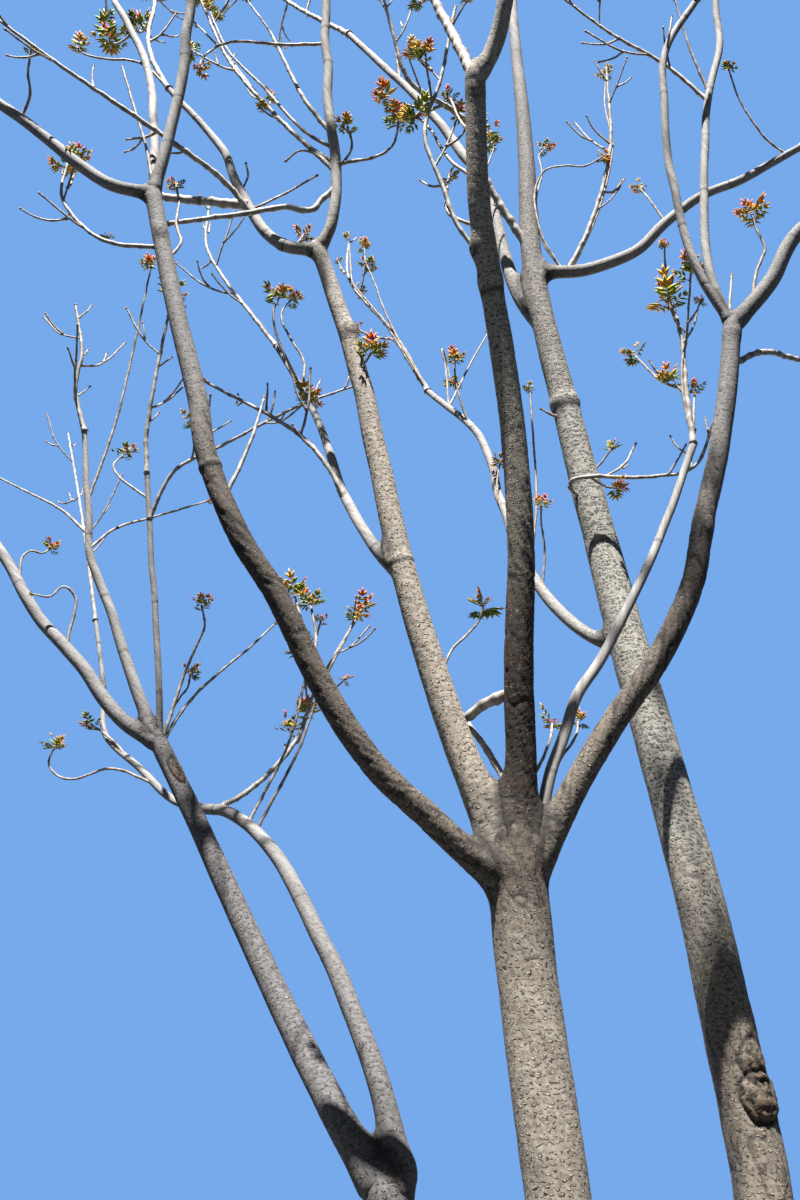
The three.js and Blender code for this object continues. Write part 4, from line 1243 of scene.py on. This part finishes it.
    def build(self, material: bpy.types.Material) -> bpy.types.Object:
        """Makes the limb's piece: base radius, fork rise, relief, collars, marks, and a rounded tip."""
        self.lay_grid()
        base = self.base_radius()
        rise, seam, crotch_shade_and_grime = self.fork_rise(self.centres[:, None] + self.outward * base[..., None])
        age = np.broadcast_to(self.plan.age(self.limb, self.fractions)[:, None], base.shape)
        kinds = self.plan.kinds(self.limb, self.fractions)
        relief = self.relief(age, kinds)
        self.add_collars(relief, age)
        for mark in self.marks:
            self.add_mark(mark, relief)
        # Painted shade deep in the crotches, partly also their darker bark, joins the cracks' darkening in
        # patches
        patchy = 0.6 + 0.5 * self.noise(Pattern.GRIME)
        relief.crack = relief.crack + 0.5 * seam + crotch_shade_and_grime * patchy
        height = relief.height * (1 - 0.7 * seam)
        points = self.centres[:, None] + self.outward * (base + rise + height)[..., None]
        foot = self.centres[0]
        if self.limb.flared:
            points = self.flat_foot(points)
            foot = np.append(points[0].mean(axis=0)[:2], 0)
        poles = np.array([foot, points[-1].mean(axis=0) + self.tangents[-1] * self.least_height])
        skin = Skin()
        skin.add_tube(points, poles, **self.layers(relief, age, kinds))
        return skin.build(f"bark_{self.limb.name}", material)


@dataclass
class TwigSkin:
    """The skins of all shoots: slim tubes with knobbly leaf scars, joined by kind."""

    ring_step: float = 0.013
    scar_gap: float = 0.055
    scar_spread: Span = (0.8, 0.5)
    scar_width: float = 0.12
    scar_swell: float = 0.2
    scar_tone: float = 0.8
    zigzag: float = 0.16
    zigzag_width: float = 0.3
    foot_swell: float = 0.5
    foot_length: float = 1.2
    plain_foot_girth: float = 40.0
    roughness: float = 0.1
    series: int = 17
    rough_series: int = 977

    def smooth_path(self, joints: Array) -> tuple[Array, Array, Array]:
        """A cubic through the joints, sampled evenly: points, tangents, and length along."""
        curve = Curve.through(joints)
        fractions = np.linspace(0, 1, max(6, math.ceil(curve.total / self.ring_step)))
        points = curve.points(fractions)
        return points, unit(np.gradient(points, axis=0)), fractions * curve.total

    def add(self, skin: Skin, shoot: Shoot) -> None:
        """Adds one shoot, which tapers, spreads at its foot, and swells and steps aside at each scar."""
        foot, tip = shoot.girth
        points, tangents, along = self.smooth_path(shoot.joints * MM)
        radius = (foot + (tip - foot) * along / along[-1]) / 2 * MM
        side, front = square_frames(tangents)
        draw = Series(shoot.seed + self.series)
        scars = along / (self.scar_gap * draw.within(self.scar_spread)) + draw()
        from_scar = np.abs(scars - np.round(scars))
        turn = np.round(scars) * math.radians(LEAF_TURN) + 6.28 * draw()
        aside = np.cos(turn)[:, None] * side + np.sin(turn)[:, None] * front
        points = points + aside * (self.zigzag * radius * bell(from_scar, 0, self.zigzag_width))[:, None]
        scar = bell(from_scar, 0, self.scar_width)
        spread = self.foot_swell * np.exp(-along / (self.foot_length * radius[0]))
        swell = 1 + self.scar_swell * scar + spread * (foot < self.plain_foot_girth)
        angles = even_turns(8 if foot > SLIM_GIRTH else 6)
        lumps = np.broadcast_arrays(scars[:, None] * 3, angles[None] * 2, shoot.seed % self.rough_series)
        rough = 1 + self.roughness * smooth_noise(np.stack(lumps, axis=-1), 3)
        reach = (radius * swell)[:, None] * rough
        grid = points[:, None] + ring_ways(side, front, angles) * reach[..., None]
        poles = np.array([points[0], points[-1] + tangents[-1] * radius[-1]])
        ring = np.broadcast_to((scar * self.scar_tone)[:, None], rough.shape)
        skin.add_tube(grid, poles, scar=np.append(ring, [0, 0]))


class LeafTint(Enum):
    """The tints of young leaves, from the tip of a tuft down."""

    CRIMSON = 0
    BRONZE = 1
    AMBER = 2
    OLIVE = 3
    GREEN = 4


LEAF_TONES = {
    LeafTint.CRIMSON: ((0.74, 0.27, 0.11), (0.56, 0.17, 0.08)),
    LeafTint.BRONZE: ((0.84, 0.47, 0.15), (0.72, 0.35, 0.11)),
    LeafTint.AMBER: ((0.78, 0.61, 0.22), (0.66, 0.49, 0.15)),
    LeafTint.OLIVE: ((0.57, 0.59, 0.20), (0.44, 0.47, 0.14)),
    LeafTint.GREEN: ((0.38, 0.46, 0.16), (0.26, 0.34, 0.11)),
}


@dataclass
class LeafWork:
    """Tufts of feathered leaves: each leaf a stalk with pairs of leaflets and one at the end.

    A leaflet is a lens of twelve faces: a root, two rings of left edge, keel and right edge, and a tip. A
    ring is how far along it is, and its edge, keel and droop, as shares of the length or width.
    """

    leaf_mm: float = 74.0
    leaf_spread: Span = (0.7, 0.5)
    leaflet_mm: float = 56.0
    leaflet_spread: Span = (0.75, 0.5)
    leaflet_width: float = 0.38
    rings: tuple[tuple[float, ...], ...] = ((0.28, 0.5, 0.075, 0.01), (0.62, 0.34, 0.06, 0.04))
    edge_lift: float = 0.03
    tip_droop: float = 0.12
    pairs: int = 3
    fewer_pairs: float = 0.6
    pair_span: Pair = (0.42, 0.94)
    bend: Span = (0.05, 0.2)
    openings: Pair = (92, 36)
    opening_spread: float = 16
    stalk_mm: float = 2.4
    stalk_taper: Pair = (0.6, 0.25)
    bud_ends: Pair = (-0.004, 0.012)
    bud_shape: tuple[float, ...] = (0.9, 1.35, 1.4, 1.0, 0.4)
    series: int = 5000
    skins: dict[LeafTint, Skin] = field(default_factory=lambda: {tint: Skin() for tint in LeafTint})
    stalks: Skin = field(default_factory=Skin)

    LENS = np.array([
        (0, 2, 1), (0, 3, 2), (0, 1, 3),
        (1, 2, 5), (1, 5, 4), (2, 3, 6), (2, 6, 5), (3, 1, 4), (3, 4, 6),
        (4, 5, 7), (5, 6, 7), (6, 4, 7),
    ])

    def leaflets(self, roots: Array, ways: Array, faces: Array, lengths: Array) -> Array:
        """Points of many leaflets at once.

        Args:
            roots: where each leaflet starts.
            ways: the unit direction that each runs in.
            faces: the unit direction that each blade faces, square to its way.
            lengths: the length of each.

        Returns:
            Eight points a leaflet: root, first ring, second ring, tip.
        """
        size = lengths[:, None]
        across = np.cross(ways, faces)
        lift = faces * size * self.edge_lift
        points = [roots]
        for at, half, keel, droop in self.rings:
            middle = roots + ways * size * at - faces * size * droop
            edge = across * size * self.leaflet_width * half
            points += [middle + edge + lift, middle - faces * size * keel, middle - edge + lift]
        points.append(roots + ways * size - faces * size * self.tip_droop)
        return np.stack(points, axis=1)

    def leaf(self, root: Array, way: Array, size: float, youth: float, draw: Series) -> None:
        """Adds one feathered leaf.

        Its stalk bends upwards. Leaflets stand in pairs, opened like a star near the root and forwards at
        the end. Their tint ripens towards the root, and with age.

        Args:
            root: where its stalk starts.
            way: the unit direction that it leaves in.
            size: its size, 1 for a usual leaf.
            youth: 1 for a young leaf and less for an older one.
            draw: the tuft's series.
        """
        length = self.leaf_mm * MM * size * draw.within(self.leaf_spread)
        pairs = self.pairs - (draw() > self.fewer_pairs)
        up = np.array([0, 0, 1.0])
        side = unit(np.cross(way, up) + 1e-6)
        face = np.cross(side, way)
        bend = up * length * draw.within(self.bend)
        along = np.linspace(0, 1, 4)[:, None]
        self.stalk(root + way * length * along + bend * along**2, size)
        places = np.append(np.repeat(np.linspace(*self.pair_span, pairs), 2), 1.0)
        hands = np.append(np.tile([1.0, -1.0], pairs), 0.0)[:, None]
        spots = root + way * length * places[:, None] + bend * places[:, None] ** 2
        run = unit(way + 2 * bend / length * places[:, None])
        first, last = self.openings
        opening = np.radians(first - (first - last) * places + draw.swing(self.opening_spread))[:, None]
        ways = np.where(hands == 0, run, run * np.cos(opening) + side * hands * np.sin(opening))
        ways = unit(ways + face * (0.35 - 0.7 * draw()) + up * 0.08)
        faces = unit(face - ways * (face * ways).sum(-1, keepdims=True))
        shape = 0.6 + 0.45 * np.sin(np.pi * np.clip(places, 0, 0.8))
        lengths = self.leaflet_mm * MM * size * shape * draw.within(self.leaflet_spread)
        points = self.leaflets(spots, ways, faces, lengths)
        ripeness = 4.7 - 2.6 * places * youth - 1.2 * youth + draw.swing(1.8)
        tint = np.clip(np.round(ripeness), 0, len(LeafTint) - 1).astype(int)
        for value in np.unique(tint):
            chosen = points[tint == value]
            steps = 8 * np.arange(len(chosen))[:, None, None]
            faces = (self.LENS + steps).reshape(-1, 3)
            self.skins[LeafTint(value)].add_triangles(chosen.reshape(-1, 3), faces)

    def rod(self, points: Array, ways: Array, radii: Array, sides: int, cap: float) -> None:
        """Adds a closed rod with flat sides along given points, and a low cap on its end."""
        outward = ring_ways(*square_frames(ways), even_turns(sides))
        poles = [points[0], points[-1] + ways[-1] * cap]
        self.stalks.add_tube(points[:, None] + outward * radii[:, None, None], poles)

    def stalk(self, points: Array, size: float) -> None:
        """A three-sided stalk that thins towards its end."""
        radii = self.stalk_mm * MM * size**0.5 * np.linspace(*self.stalk_taper, len(points))
        self.rod(points, unit(np.gradient(points, axis=0)), radii, 3, 0.001)

    def bud(self, shoot: Shoot) -> None:
        """A blunt bud that closes the end of a twig."""
        rings = len(self.bud_shape)
        points = shoot.joints[-1] * MM + shoot.heading * np.linspace(*self.bud_ends, rings)[:, None]
        radii = shoot.girth[1] / 2 * MM * np.array(self.bud_shape)
        self.rod(points, np.repeat(shoot.heading[None], rings, axis=0), radii, 6, 0.002)

    def tuft(self, shoot: Shoot) -> None:
        """The leaves at the end of a shoot, spiralling down from its tip, the lowest spread widest."""
        draw = Series(shoot.seed + self.series)
        count = round(4.5 + 4 * min(shoot.tuft, 1.4) + 2 * draw())
        for i in range(count):
            share = i / count
            turn = math.radians(LEAF_TURN * i + 360 * draw())
            spread = math.radians(10 + 78 * share + 16 * draw())
            root = (shoot.joints[-1] + shoot.heading * (4 - 30 * share * min(shoot.tuft, 1.3))) * MM
            size = shoot.tuft * (0.6 + 0.5 * math.sin(math.pi * (0.15 + 0.75 * share)))
            self.leaf(root, opened(shoot.heading, spread, turn), size, 1.15 - 0.8 * share, draw)

    def dress(self, shoots: list[Shoot]) -> None:
        """A bud at the end of every shoot, with a tuft round it where the shoot has one."""
        for shoot in shoots:
            if shoot.tuft > 0:
                self.tuft(shoot)
            self.bud(shoot)


class Wire:
    """A node socket that adds Math nodes when it is used in arithmetic."""

    def __init__(self, tree: bpy.types.NodeTree, socket: bpy.types.NodeSocket) -> None:
        """Wraps an output socket of a tree."""
        self.tree, self.socket = tree, socket

    def beside(self, output: str) -> "Wire":
        """Another output of the same node."""
        return Wire(self.tree, self.socket.node.outputs[output])

    def _math(self, operation: str, *values: "Wire | float") -> "Wire":
        """Adds one Math node over the given values."""
        node = self.tree.nodes.new("ShaderNodeMath")
        node.operation = operation
        for slot, value in zip(node.inputs, values):
            plug(self.tree, slot, value)
        return Wire(self.tree, node.outputs[0])

    def __add__(self, other: "Wire | float") -> "Wire":
        """Sum."""
        return self._math("ADD", self, other)

    __radd__ = __add__

    def __sub__(self, other: "Wire | float") -> "Wire":
        """Difference."""
        return self._math("SUBTRACT", self, other)

    def __rsub__(self, other: "Wire | float") -> "Wire":
        """Difference, the other way round."""
        return self._math("SUBTRACT", other, self)

    def __mul__(self, other: "Wire | float") -> "Wire":
        """Product."""
        return self._math("MULTIPLY", self, other)

    __rmul__ = __mul__

    def floor(self) -> "Wire":
        """The whole number below."""
        return self._math("FLOOR", self)

    def angle(self, other: "Wire") -> "Wire":
        """The angle of the point that has this as its height and the other as its distance out."""
        return self._math("ARCTAN2", self, other)

    def wrap(self, length: "Wire | float") -> "Wire":
        """What is left over after whole lengths."""
        return self._math("FLOORED_MODULO", self, length)

    def away(self, other: "Wire | float") -> "Wire":
        """The distance from another number."""
        return self._math("ABSOLUTE", self - other)

    def hypotenuse(self, other: "Wire") -> "Wire":
        """The root of the sum of both squares."""
        return self._math("SQRT", self * self + other * other)

    def rise(self, low: float, high: float) -> "Wire":
        """0 below low, 1 above high, and even between."""
        scaled = self._math("DIVIDE", self - low, high - low)
        clamped = self._math("MAXIMUM", scaled, 0.0)
        return self._math("MINIMUM", clamped, 1.0)


def plug(tree: bpy.types.NodeTree, slot: bpy.types.NodeSocket, value: object) -> None:
    """Feeds an input from a wire, or else gives it a value of its own."""
    if isinstance(value, Wire):
        tree.links.new(value.socket, slot)
    else:
        slot.default_value = value


def light_from(colour: Tone) -> tuple[float, float, float, float]:
    """A colour as light values, from its values on a screen: each to the power 2.2."""
    return (*(value**2.2 for value in colour), 1.0)


class Nodes:
    """A node tree under construction, with a method that makes nodes and some for usual ones."""

    def __init__(self, tree: bpy.types.NodeTree) -> None:
        """Starts with the given tree."""
        self.tree = tree

    def node(self, kind: str, output: str, settings: dict, **sockets: object) -> Wire:
        """Makes a node.

        Args:
            kind: the node's type.
            output: the name of the output that is wanted.
            settings: properties of the node, set first.
            sockets: values or wires by an input's name, with _ for a space, or its identifier.

        Returns:
            The wanted output.
        """
        node = self.tree.nodes.new(kind)
        for name, value in settings.items():
            setattr(node, name, value)
        slots = [slot for slot in node.inputs if slot.enabled]
        for name, value in sockets.items():
            slot = next(s for s in slots if name in (s.name.replace(" ", "_"), s.identifier))
            plug(self.tree, slot, value)
        return Wire(self.tree, next(s for s in node.outputs if s.enabled and s.name == output))

    def attribute(self, name: str, output: str = "Fac") -> Wire:
        """A value that the mesh carries."""
        return self.node("ShaderNodeAttribute", output, {"attribute_name": name})

    def scaled(self, vector: Wire, scale: Triple) -> Wire:
        """A vector times another."""
        settings = {"operation": "MULTIPLY"}
        return self.node("ShaderNodeVectorMath", "Vector", settings, Vector=vector, Vector_001=scale)

    def noise(self, vector: Wire, scale: float, detail: float = 3.0) -> Wire:
        """Noise from 0 to 1."""
        return self.node("ShaderNodeTexNoise", "Fac", {}, Vector=vector, Scale=scale, Detail=detail)

    def cells(self, vector: Wire, scale: float) -> tuple[Wire, Wire]:
        """Scattered cells: the distance, and a random value that is the same all over a cell."""
        distance = self.node("ShaderNodeTexVoronoi", "Distance", {}, Vector=vector, Scale=scale)
        return distance, self.node("ShaderNodeSeparateColor", "Red", {}, Color=distance.beside("Color"))

    def blend(self, share: Wire | float, first: Wire | Tone, second: Wire | Tone) -> Wire:
        """A colour between two, by a share."""
        low, high = (light_from(end) if isinstance(end, tuple) else end for end in (first, second))
        return self.node("ShaderNodeMix", "Result", {"data_type": "RGBA"}, Factor=share, A=low, B=high)

    def parts(self, vector: Wire) -> tuple[Wire, Wire, Wire]:
        """The three numbers of a vector."""
        first = self.node("ShaderNodeSeparateXYZ", "X", {}, Vector=vector)
        return first, first.beside("Y"), first.beside("Z")


class Finish(Nodes):
    """A material under construction: its tree and its main shader."""

    def __init__(self, name: str, roughness: float) -> None:
        """Starts a material with a plain shader."""
        self.material = bpy.data.materials.new(name)
        self.material.use_nodes = True
        super().__init__(self.material.node_tree)
        self.shader = self.tree.nodes["Principled BSDF"]
        self.connect("Roughness", roughness)

    def connect(self, socket: str, value: Wire | float | tuple[float, ...]) -> None:
        """Feeds one of the main shader's inputs, or gives it a value of its own."""
        plug(self.tree, self.shader.inputs[socket], value)

    def bump(self, height: Wire, strength: float, distance: float) -> None:
        """Feeds the normal from a height in the pattern."""
        reach = {"Strength": strength, "Distance": distance}
        self.connect("Normal", self.node("ShaderNodeBump", "Normal", {}, Height=height, **reach))


class BarkPaint(Finish):
    """The bark of any limb: four barks mixed by the mesh's shares, and young wood, all along its grain."""

    ROW_MM = 19.0
    WAVER = 2.2

    def __init__(self, name: str) -> None:
        """Starts the material with its space, its barks' shares, and its rows of leaf scars."""
        super().__init__(name, 0.85)
        self.grain = self.attribute("grain", "Vector")
        self.shares = {kind: self.attribute(kind.name.lower()) for kind in list(BarkKind)[1:]}
        self.lay_scars()

    def lay_scars(self) -> None:
        """Old leaf scars in wavering rows round the limb, each row half a step on from the one below.

        A place in its row is the share of a turn, times the count of scars that the mesh carries.
        """
        out, side, along = self.parts(self.grain)
        wander = self.node("ShaderNodeTexNoise", "Color", {}, Vector=self.grain, Scale=34.0, Detail=2.0)
        first, second, _ = self.parts(wander)
        rows = along * (1 / (self.ROW_MM * MM)) + second * self.WAVER
        row = rows.floor()
        count = self.attribute("scars")
        places = side.angle(out) * (0.5 / math.pi) * count + row * 0.5 + first * self.WAVER
        place = places.floor()
        spot = self.node("ShaderNodeCombineXYZ", "Vector", {}, X=place.wrap(count), Y=row)
        self.luck = self.node("ShaderNodeTexWhiteNoise", "Value", {}, Vector=spot)
        aside, above, _ = self.parts(self.luck.beside("Color"))
        self.across = places - place - 0.75 + aside * 0.5
        self.up = rows - row - 0.8 + above * 0.6

    def tone(self, role: str) -> Wire:
        """One of the four colours, mixed by the shares."""
        colour = getattr(FINISHES[NETTED], role)
        for kind, share in self.shares.items():
            colour = self.blend(share, colour, getattr(FINISHES[kind], role))
        return colour

    def amount(self, role: str) -> Wire:
        """One of the amounts, mixed by the shares."""
        plain = getattr(FINISHES[NETTED], role)
        parts = [share * (getattr(FINISHES[kind], role) - plain) for kind, share in self.shares.items()]
        return plain + sum(parts)

    def spots(self, vector: Wire, scale: float, share: "Wire | float", size: float) -> Wire:
        """Spots in a share of all cells, with soft edges at a size in cells."""
        far, random = self.cells(vector, scale)
        return (random - (1 - share)).rise(-0.02, 0.02) * (1 - far.rise(size * 0.8, size * 1.15))

    def lit(self, role: str, low: float, high: float) -> Wire:
        """Which scars show: those whose luck is better than one of the amounts asks for."""
        return (self.luck - (1 - self.amount(role))).rise(low, high)

    def scars(self, far: Wire) -> tuple[Wire, Wire]:
        """Each scar's dark bow round its lower side, thickest in the middle, and its pale lens."""
        bow = 1 - far.away(0.24).rise(0.10, 0.19)
        bow = bow * (1 - (self.up + self.across.away(0) * 0.5).rise(0.0, 0.16))
        bow = bow * self.lit("specks", -0.1, 0.1)
        lens = (1 - (far - self.up * 0.4).rise(0.06, 0.2)) * self.lit("flecks", -0.3, 0.2)
        return bow, lens

    def young_wood(self, flat: Wire) -> Wire:
        """Streaked young wood with dark pores."""
        streak = self.noise(self.scaled(self.grain, (1.0, 1.0, 0.12)), 60.0)
        young = self.blend(streak.rise(0.35, 0.7) * 0.7, YOUNG_WOOD, YOUNG_SHADE)
        pores = self.spots(flat, 75.0, 0.34, 0.18)
        return self.blend(pores * 0.75, young, DOT_TONE)

    def finish(self) -> bpy.types.Material:
        """Builds the colour, the roughness and the bump, in which each scar's lens stands up."""
        crack, age, torn = self.attribute("crack"), self.attribute("age"), self.attribute("torn")
        broad = self.noise(self.grain, 9.0)
        fine = self.noise(self.grain, 300.0, 4.0)
        patch = self.noise(self.grain, 75.0)
        far = self.across.hypotenuse(self.up * 1.25)
        bow, lens = self.scars(far)
        flat = self.scaled(self.grain, (0.75, 0.75, 1.5))
        grit = self.spots(flat, 150.0, 0.3, 0.34)
        ring = (1 - far.away(0.26).rise(0.10, 0.19)) * (self.luck - 0.12).rise(-0.05, 0.05)
        ring = ring * self.amount("rings")
        bark = self.blend(patch.rise(0.36, 0.64), self.tone("ground"), self.tone("shade"))
        bark = self.blend(lens * (0.35 + 0.65 * broad.rise(0.35, 0.6)), bark, self.tone("fleck"))
        bark = self.blend(bow * (0.75 + 0.5 * patch), bark, self.tone("speck"))
        bark = self.blend(grit * 0.45, bark, self.tone("speck"))
        bark = self.blend(ring * 0.9, bark, DOT_TONE)
        bark = self.blend(age, self.young_wood(flat), bark)
        fibre = self.noise(self.scaled(self.grain, (1.0, 1.0, 0.25)), 160.0, 4.0)
        wood = self.blend(fibre.rise(0.36, 0.62), TORN_WOOD, TORN_SHADE)
        bark = self.blend(torn, bark, wood)
        # The crack attribute darkens the cracks, and also paints shade deep in the crotches
        self.connect("Base Color", self.blend(crack * 0.9, bark, CRACK_TONE))
        self.connect("Roughness", 0.72 + 0.22 * fine)
        self.bump(fine * 0.3 + age * (lens * 0.7 - bow * 0.8) - ring * 0.5 + torn * fibre, 0.6, 0.0025)
        return self.material


# The pale and the dark tone of each young wood, and the tones of its speckles and leaf scars
WOODS = {
    "stem_wood": ((0.66, 0.64, 0.61), (0.44, 0.41, 0.38)),
    "twig_wood": ((0.64, 0.60, 0.55), (0.40, 0.34, 0.30)),
    "leaf_stalks": ((0.52, 0.38, 0.24), (0.40, 0.26, 0.16)),
}
SPECKLE_TONE = (0.2, 0.16, 0.13)
SCAR_TONE = (0.22, 0.18, 0.15)


def young_finish(name: str) -> bpy.types.Material:
    """Smooth young wood: mottling and speckles, darker at the leaf scars."""
    work = Finish(name, 0.7)
    place = work.node("ShaderNodeTexCoord", "Object", {})
    mottle, speckle = work.noise(place, 30.0, 4.0), work.noise(place, 240.0, 2.0)
    scar = work.attribute("scar")
    wood = work.blend(mottle.rise(0.35, 0.7), *WOODS[name])
    wood = work.blend(speckle.rise(0.62, 0.72) * 0.35, wood, SPECKLE_TONE)
    work.connect("Base Color", work.blend(scar * 0.55, wood, SCAR_TONE))
    work.connect("Roughness", 0.55 + 0.3 * speckle)
    work.bump(mottle + speckle * 0.5, 0.4, 0.002)
    return work.material


def leaf_finish(tint: LeafTint) -> bpy.types.Material:
    """Young leaf: one base colour with a slight drift of tone, and a soft gloss."""
    first, second = LEAF_TONES[tint]
    work = Finish(f"leaf_{tint.name.lower()}", 0.45)
    place = work.node("ShaderNodeTexCoord", "Object", {})
    drift = work.noise(place, 14.0, 2.0)
    vein = work.noise(place, 420.0, 2.0)
    work.connect("Base Color", work.blend(drift.rise(0.35, 0.65), first, second))
    work.connect("Roughness", 0.5 + 0.2 * vein)
    work.connect("Specular IOR Level", 0.25)
    work.bump(vein, 0.25, 0.0006)
    return work.material


# Two limbs that are one stem, so that no fork shows between them
RUNS_ON = {"right_stem", "right_top"}


@dataclass
class Trunks:
    """The stems and boughs in their bark."""

    limbs: dict[str, Limb]
    flow: float = 2.3
    sibling_share: float = 0.8
    sibling_room: float = 0.3
    foot_width: float = 0.2
    brown: frozenset[str] = frozenset({"trunk", "bough_a", "bough_b", "bough_c", "bough_e"})

    def fork(self, limb: Limb, other: Limb) -> Fork | None:
        """The fork that two limbs share, if any, as wide as the slimmer of them asks for there."""
        start, place = limb.curve.joints[0] * MM, other.curve.joints[0] * MM
        middle = (start + place) / 2
        foot, other_foot = limb.girth[0] / 2 * MM, other.girth[0] / 2 * MM
        if limb.flared and other.flared:
            return Fork(other, middle, self.foot_width)
        if {limb.name, other.name} == RUNS_ON:
            return None
        if other.name == limb.parent:
            return Fork(other, start, self.flow * min(foot, other.girth_at(limb.at) / 2 * MM))
        if other.parent == limb.name:
            return Fork(other, place, self.flow * min(other_foot, limb.girth_at(other.at) / 2 * MM))
        near = np.linalg.norm(place - start) < self.sibling_room
        if limb.parent and other.parent == limb.parent and near:
            return Fork(other, middle, self.flow * self.sibling_share * min(foot, other_foot))
        return None

    def build(self) -> None:
        """Makes every limb's piece; each stands for its own node."""
        plan = BarkPlan(self.limbs)
        materials = {slot: BarkPaint(f"{slot}_skin").finish() for slot in ("brown_bark", "pale_bark")}
        for index, (name, limb) in enumerate(self.limbs.items()):
            slot = "brown_bark" if name in self.brown else "pale_bark"
            found = [self.fork(limb, other) for other in self.limbs.values() if other is not limb]
            forks = [fork for fork in found if fork]
            piece = BarkSkin(limb, plan, forks, MARKS.get(name, ()), index + 1).build(materials[slot])
            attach(piece, BODY)
            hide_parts(name)


@dataclass
class Crown:
    """The twigs and leaves of every spray, and the fine twigs on the limbs."""

    limbs: dict[str, Limb]
    slot: str = "young_twigs"
    stem_girth: float = 18.0

    def settle(self, piece: bpy.types.Object, *nodes: str) -> None:
        """Rides on the plant's body, and stands for the given nodes."""
        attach(piece, BODY)
        if nodes:
            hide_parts(*nodes)

    def build(self) -> None:
        """Grows everything and joins it, each kind apart."""
        sprays = plan_sprays(self.limbs)
        shoots = SprayRule(list(self.limbs.values()), sprays).grow() + fine_shoots(self.limbs)
        stems, twigs, maker = Skin(), Skin(), TwigSkin()
        for shoot in shoots:
            maker.add(stems if shoot.girth[0] > self.stem_girth else twigs, shoot)
        self.settle(stems.build("spray_stems", young_finish("stem_wood")), *[spray.name for spray in sprays])
        self.settle(twigs.build("fine_twigs", young_finish("twig_wood")))
        leaves = LeafWork()
        leaves.dress(shoots)
        for tint, skin in leaves.skins.items():
            if skin.count:
                self.settle(skin.build(f"leaflets_{tint.name.lower()}", leaf_finish(tint)))
        self.settle(leaves.stalks.build("leaf_stalks", young_finish("leaf_stalks")))
        LOG.info("%d shoots", len(shoots))


@dataclass(frozen=True)
class Lamp:
    """A square soft light: its place and side in metres, its power in watts, and its colour."""

    name: str
    place: Triple
    size: float
    power: float
    colour: Tone


LAMPS = (
    Lamp("key", (-4.9, -17.3, 45.7), 0.6, 107000, (1, 0.98, 0.94)),
    Lamp("fill", (-9, -14, 7), 6, 40, (1, 0.98, 0.94)),
    Lamp("back", (0, 15, 6), 8, 1500, (1, 0.99, 0.97)),
)


@dataclass
class Studio:
    """The floor, the lights and the camera."""

    floor_radius: float = 4.2
    floor_corners: int = 96
    floor_drop: float = 0.002
    crown_middle: Triple = (0.0, 0.0, 4.2)
    floor_tone: Tone = (0.33, 0.33, 0.32)
    sky_tone: Tone = (0.46, 0.66, 0.92)
    room_tone: Tone = (0.31, 0.37, 0.45)
    ground_tone: Tone = (0.31, 0.35, 0.40)

    def floor(self) -> None:
        """A round pale floor just under the tree."""
        count = self.floor_corners
        angles = even_turns(count)
        rim = np.stack([np.cos(angles), np.sin(angles), np.zeros(count)], axis=-1) * self.floor_radius
        points = np.vstack([rim, [[0, 0, 0]]]) - [0, 0, self.floor_drop]
        side = np.arange(count)
        skin = Skin()
        skin.add_triangles(points, np.stack([np.full(count, count), side, (side + 1) % count], axis=-1))
        work = Finish("floor_paint", 0.9)
        work.connect("Base Color", light_from(self.floor_tone))
        skin.build("floor", work.material)

    def light(self, lamp: Lamp) -> None:
        """Hangs a lamp so that it faces the middle of the crown."""
        data = bpy.data.lights.new(lamp.name, "AREA")
        data.size, data.energy, data.color = lamp.size, lamp.power, lamp.colour
        hung = bpy.data.objects.new(lamp.name, data)
        hung.location = lamp.place
        aim = np.array(self.crown_middle) - lamp.place
        yaw = math.atan2(-aim[0], aim[1])
        hung.rotation_euler = (math.atan2(math.hypot(aim[0], aim[1]), -aim[2]), 0, yaw)
        bpy.context.scene.collection.objects.link(hung)

    def camera(self) -> None:
        """The camera at the photograph's place, looking up into the crown."""
        data = bpy.data.cameras.new("camera")
        data.sensor_fit = "AUTO"
        data.sensor_width = 36.0
        data.lens = data.sensor_width * FOCAL_PX / FRAME_HEIGHT_PX
        data.clip_end = 200
        camera = bpy.data.objects.new("camera", data)
        camera.location = CAMERA_PLACE
        camera.rotation_euler = (math.radians(90 + CAMERA_PITCH), 0, 0)
        bpy.context.scene.collection.objects.link(camera)
        bpy.context.scene.camera = camera

    def sky(self) -> None:
        """A plain backdrop of pale sky behind the tree, in a dimmer room with a dull ground."""
        world = bpy.data.worlds.new("plain_sky")
        world.use_nodes = True
        work = Nodes(world.node_tree)
        place = work.node("ShaderNodeTexCoord", "Generated", {})
        _, depth, height = work.parts(place)
        tone = work.blend(depth.rise(0.3, 0.52), self.room_tone, self.sky_tone)
        tone = work.blend(height.rise(-0.1, -0.01), self.ground_tone, tone)
        work.tree.links.new(tone.socket, work.tree.nodes["Background"].inputs["Color"])
        bpy.context.scene.world = world

    def build(self) -> None:
        """Sets the stage: floor, plain sky, a high far key light, a weak fill and a back light."""
        self.camera()
        self.floor()
        self.sky()
        for lamp in LAMPS:
            self.light(lamp)
        bpy.context.scene.view_settings.view_transform = "Standard"


def main() -> None:
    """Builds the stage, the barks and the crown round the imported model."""
    logging.basicConfig(level=logging.INFO, format="%(message)s")
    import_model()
    Studio().build()
    limbs = plan_limbs()
    Trunks(limbs).build()
    Crown(limbs).build()


if __name__ == "__main__":
    main()
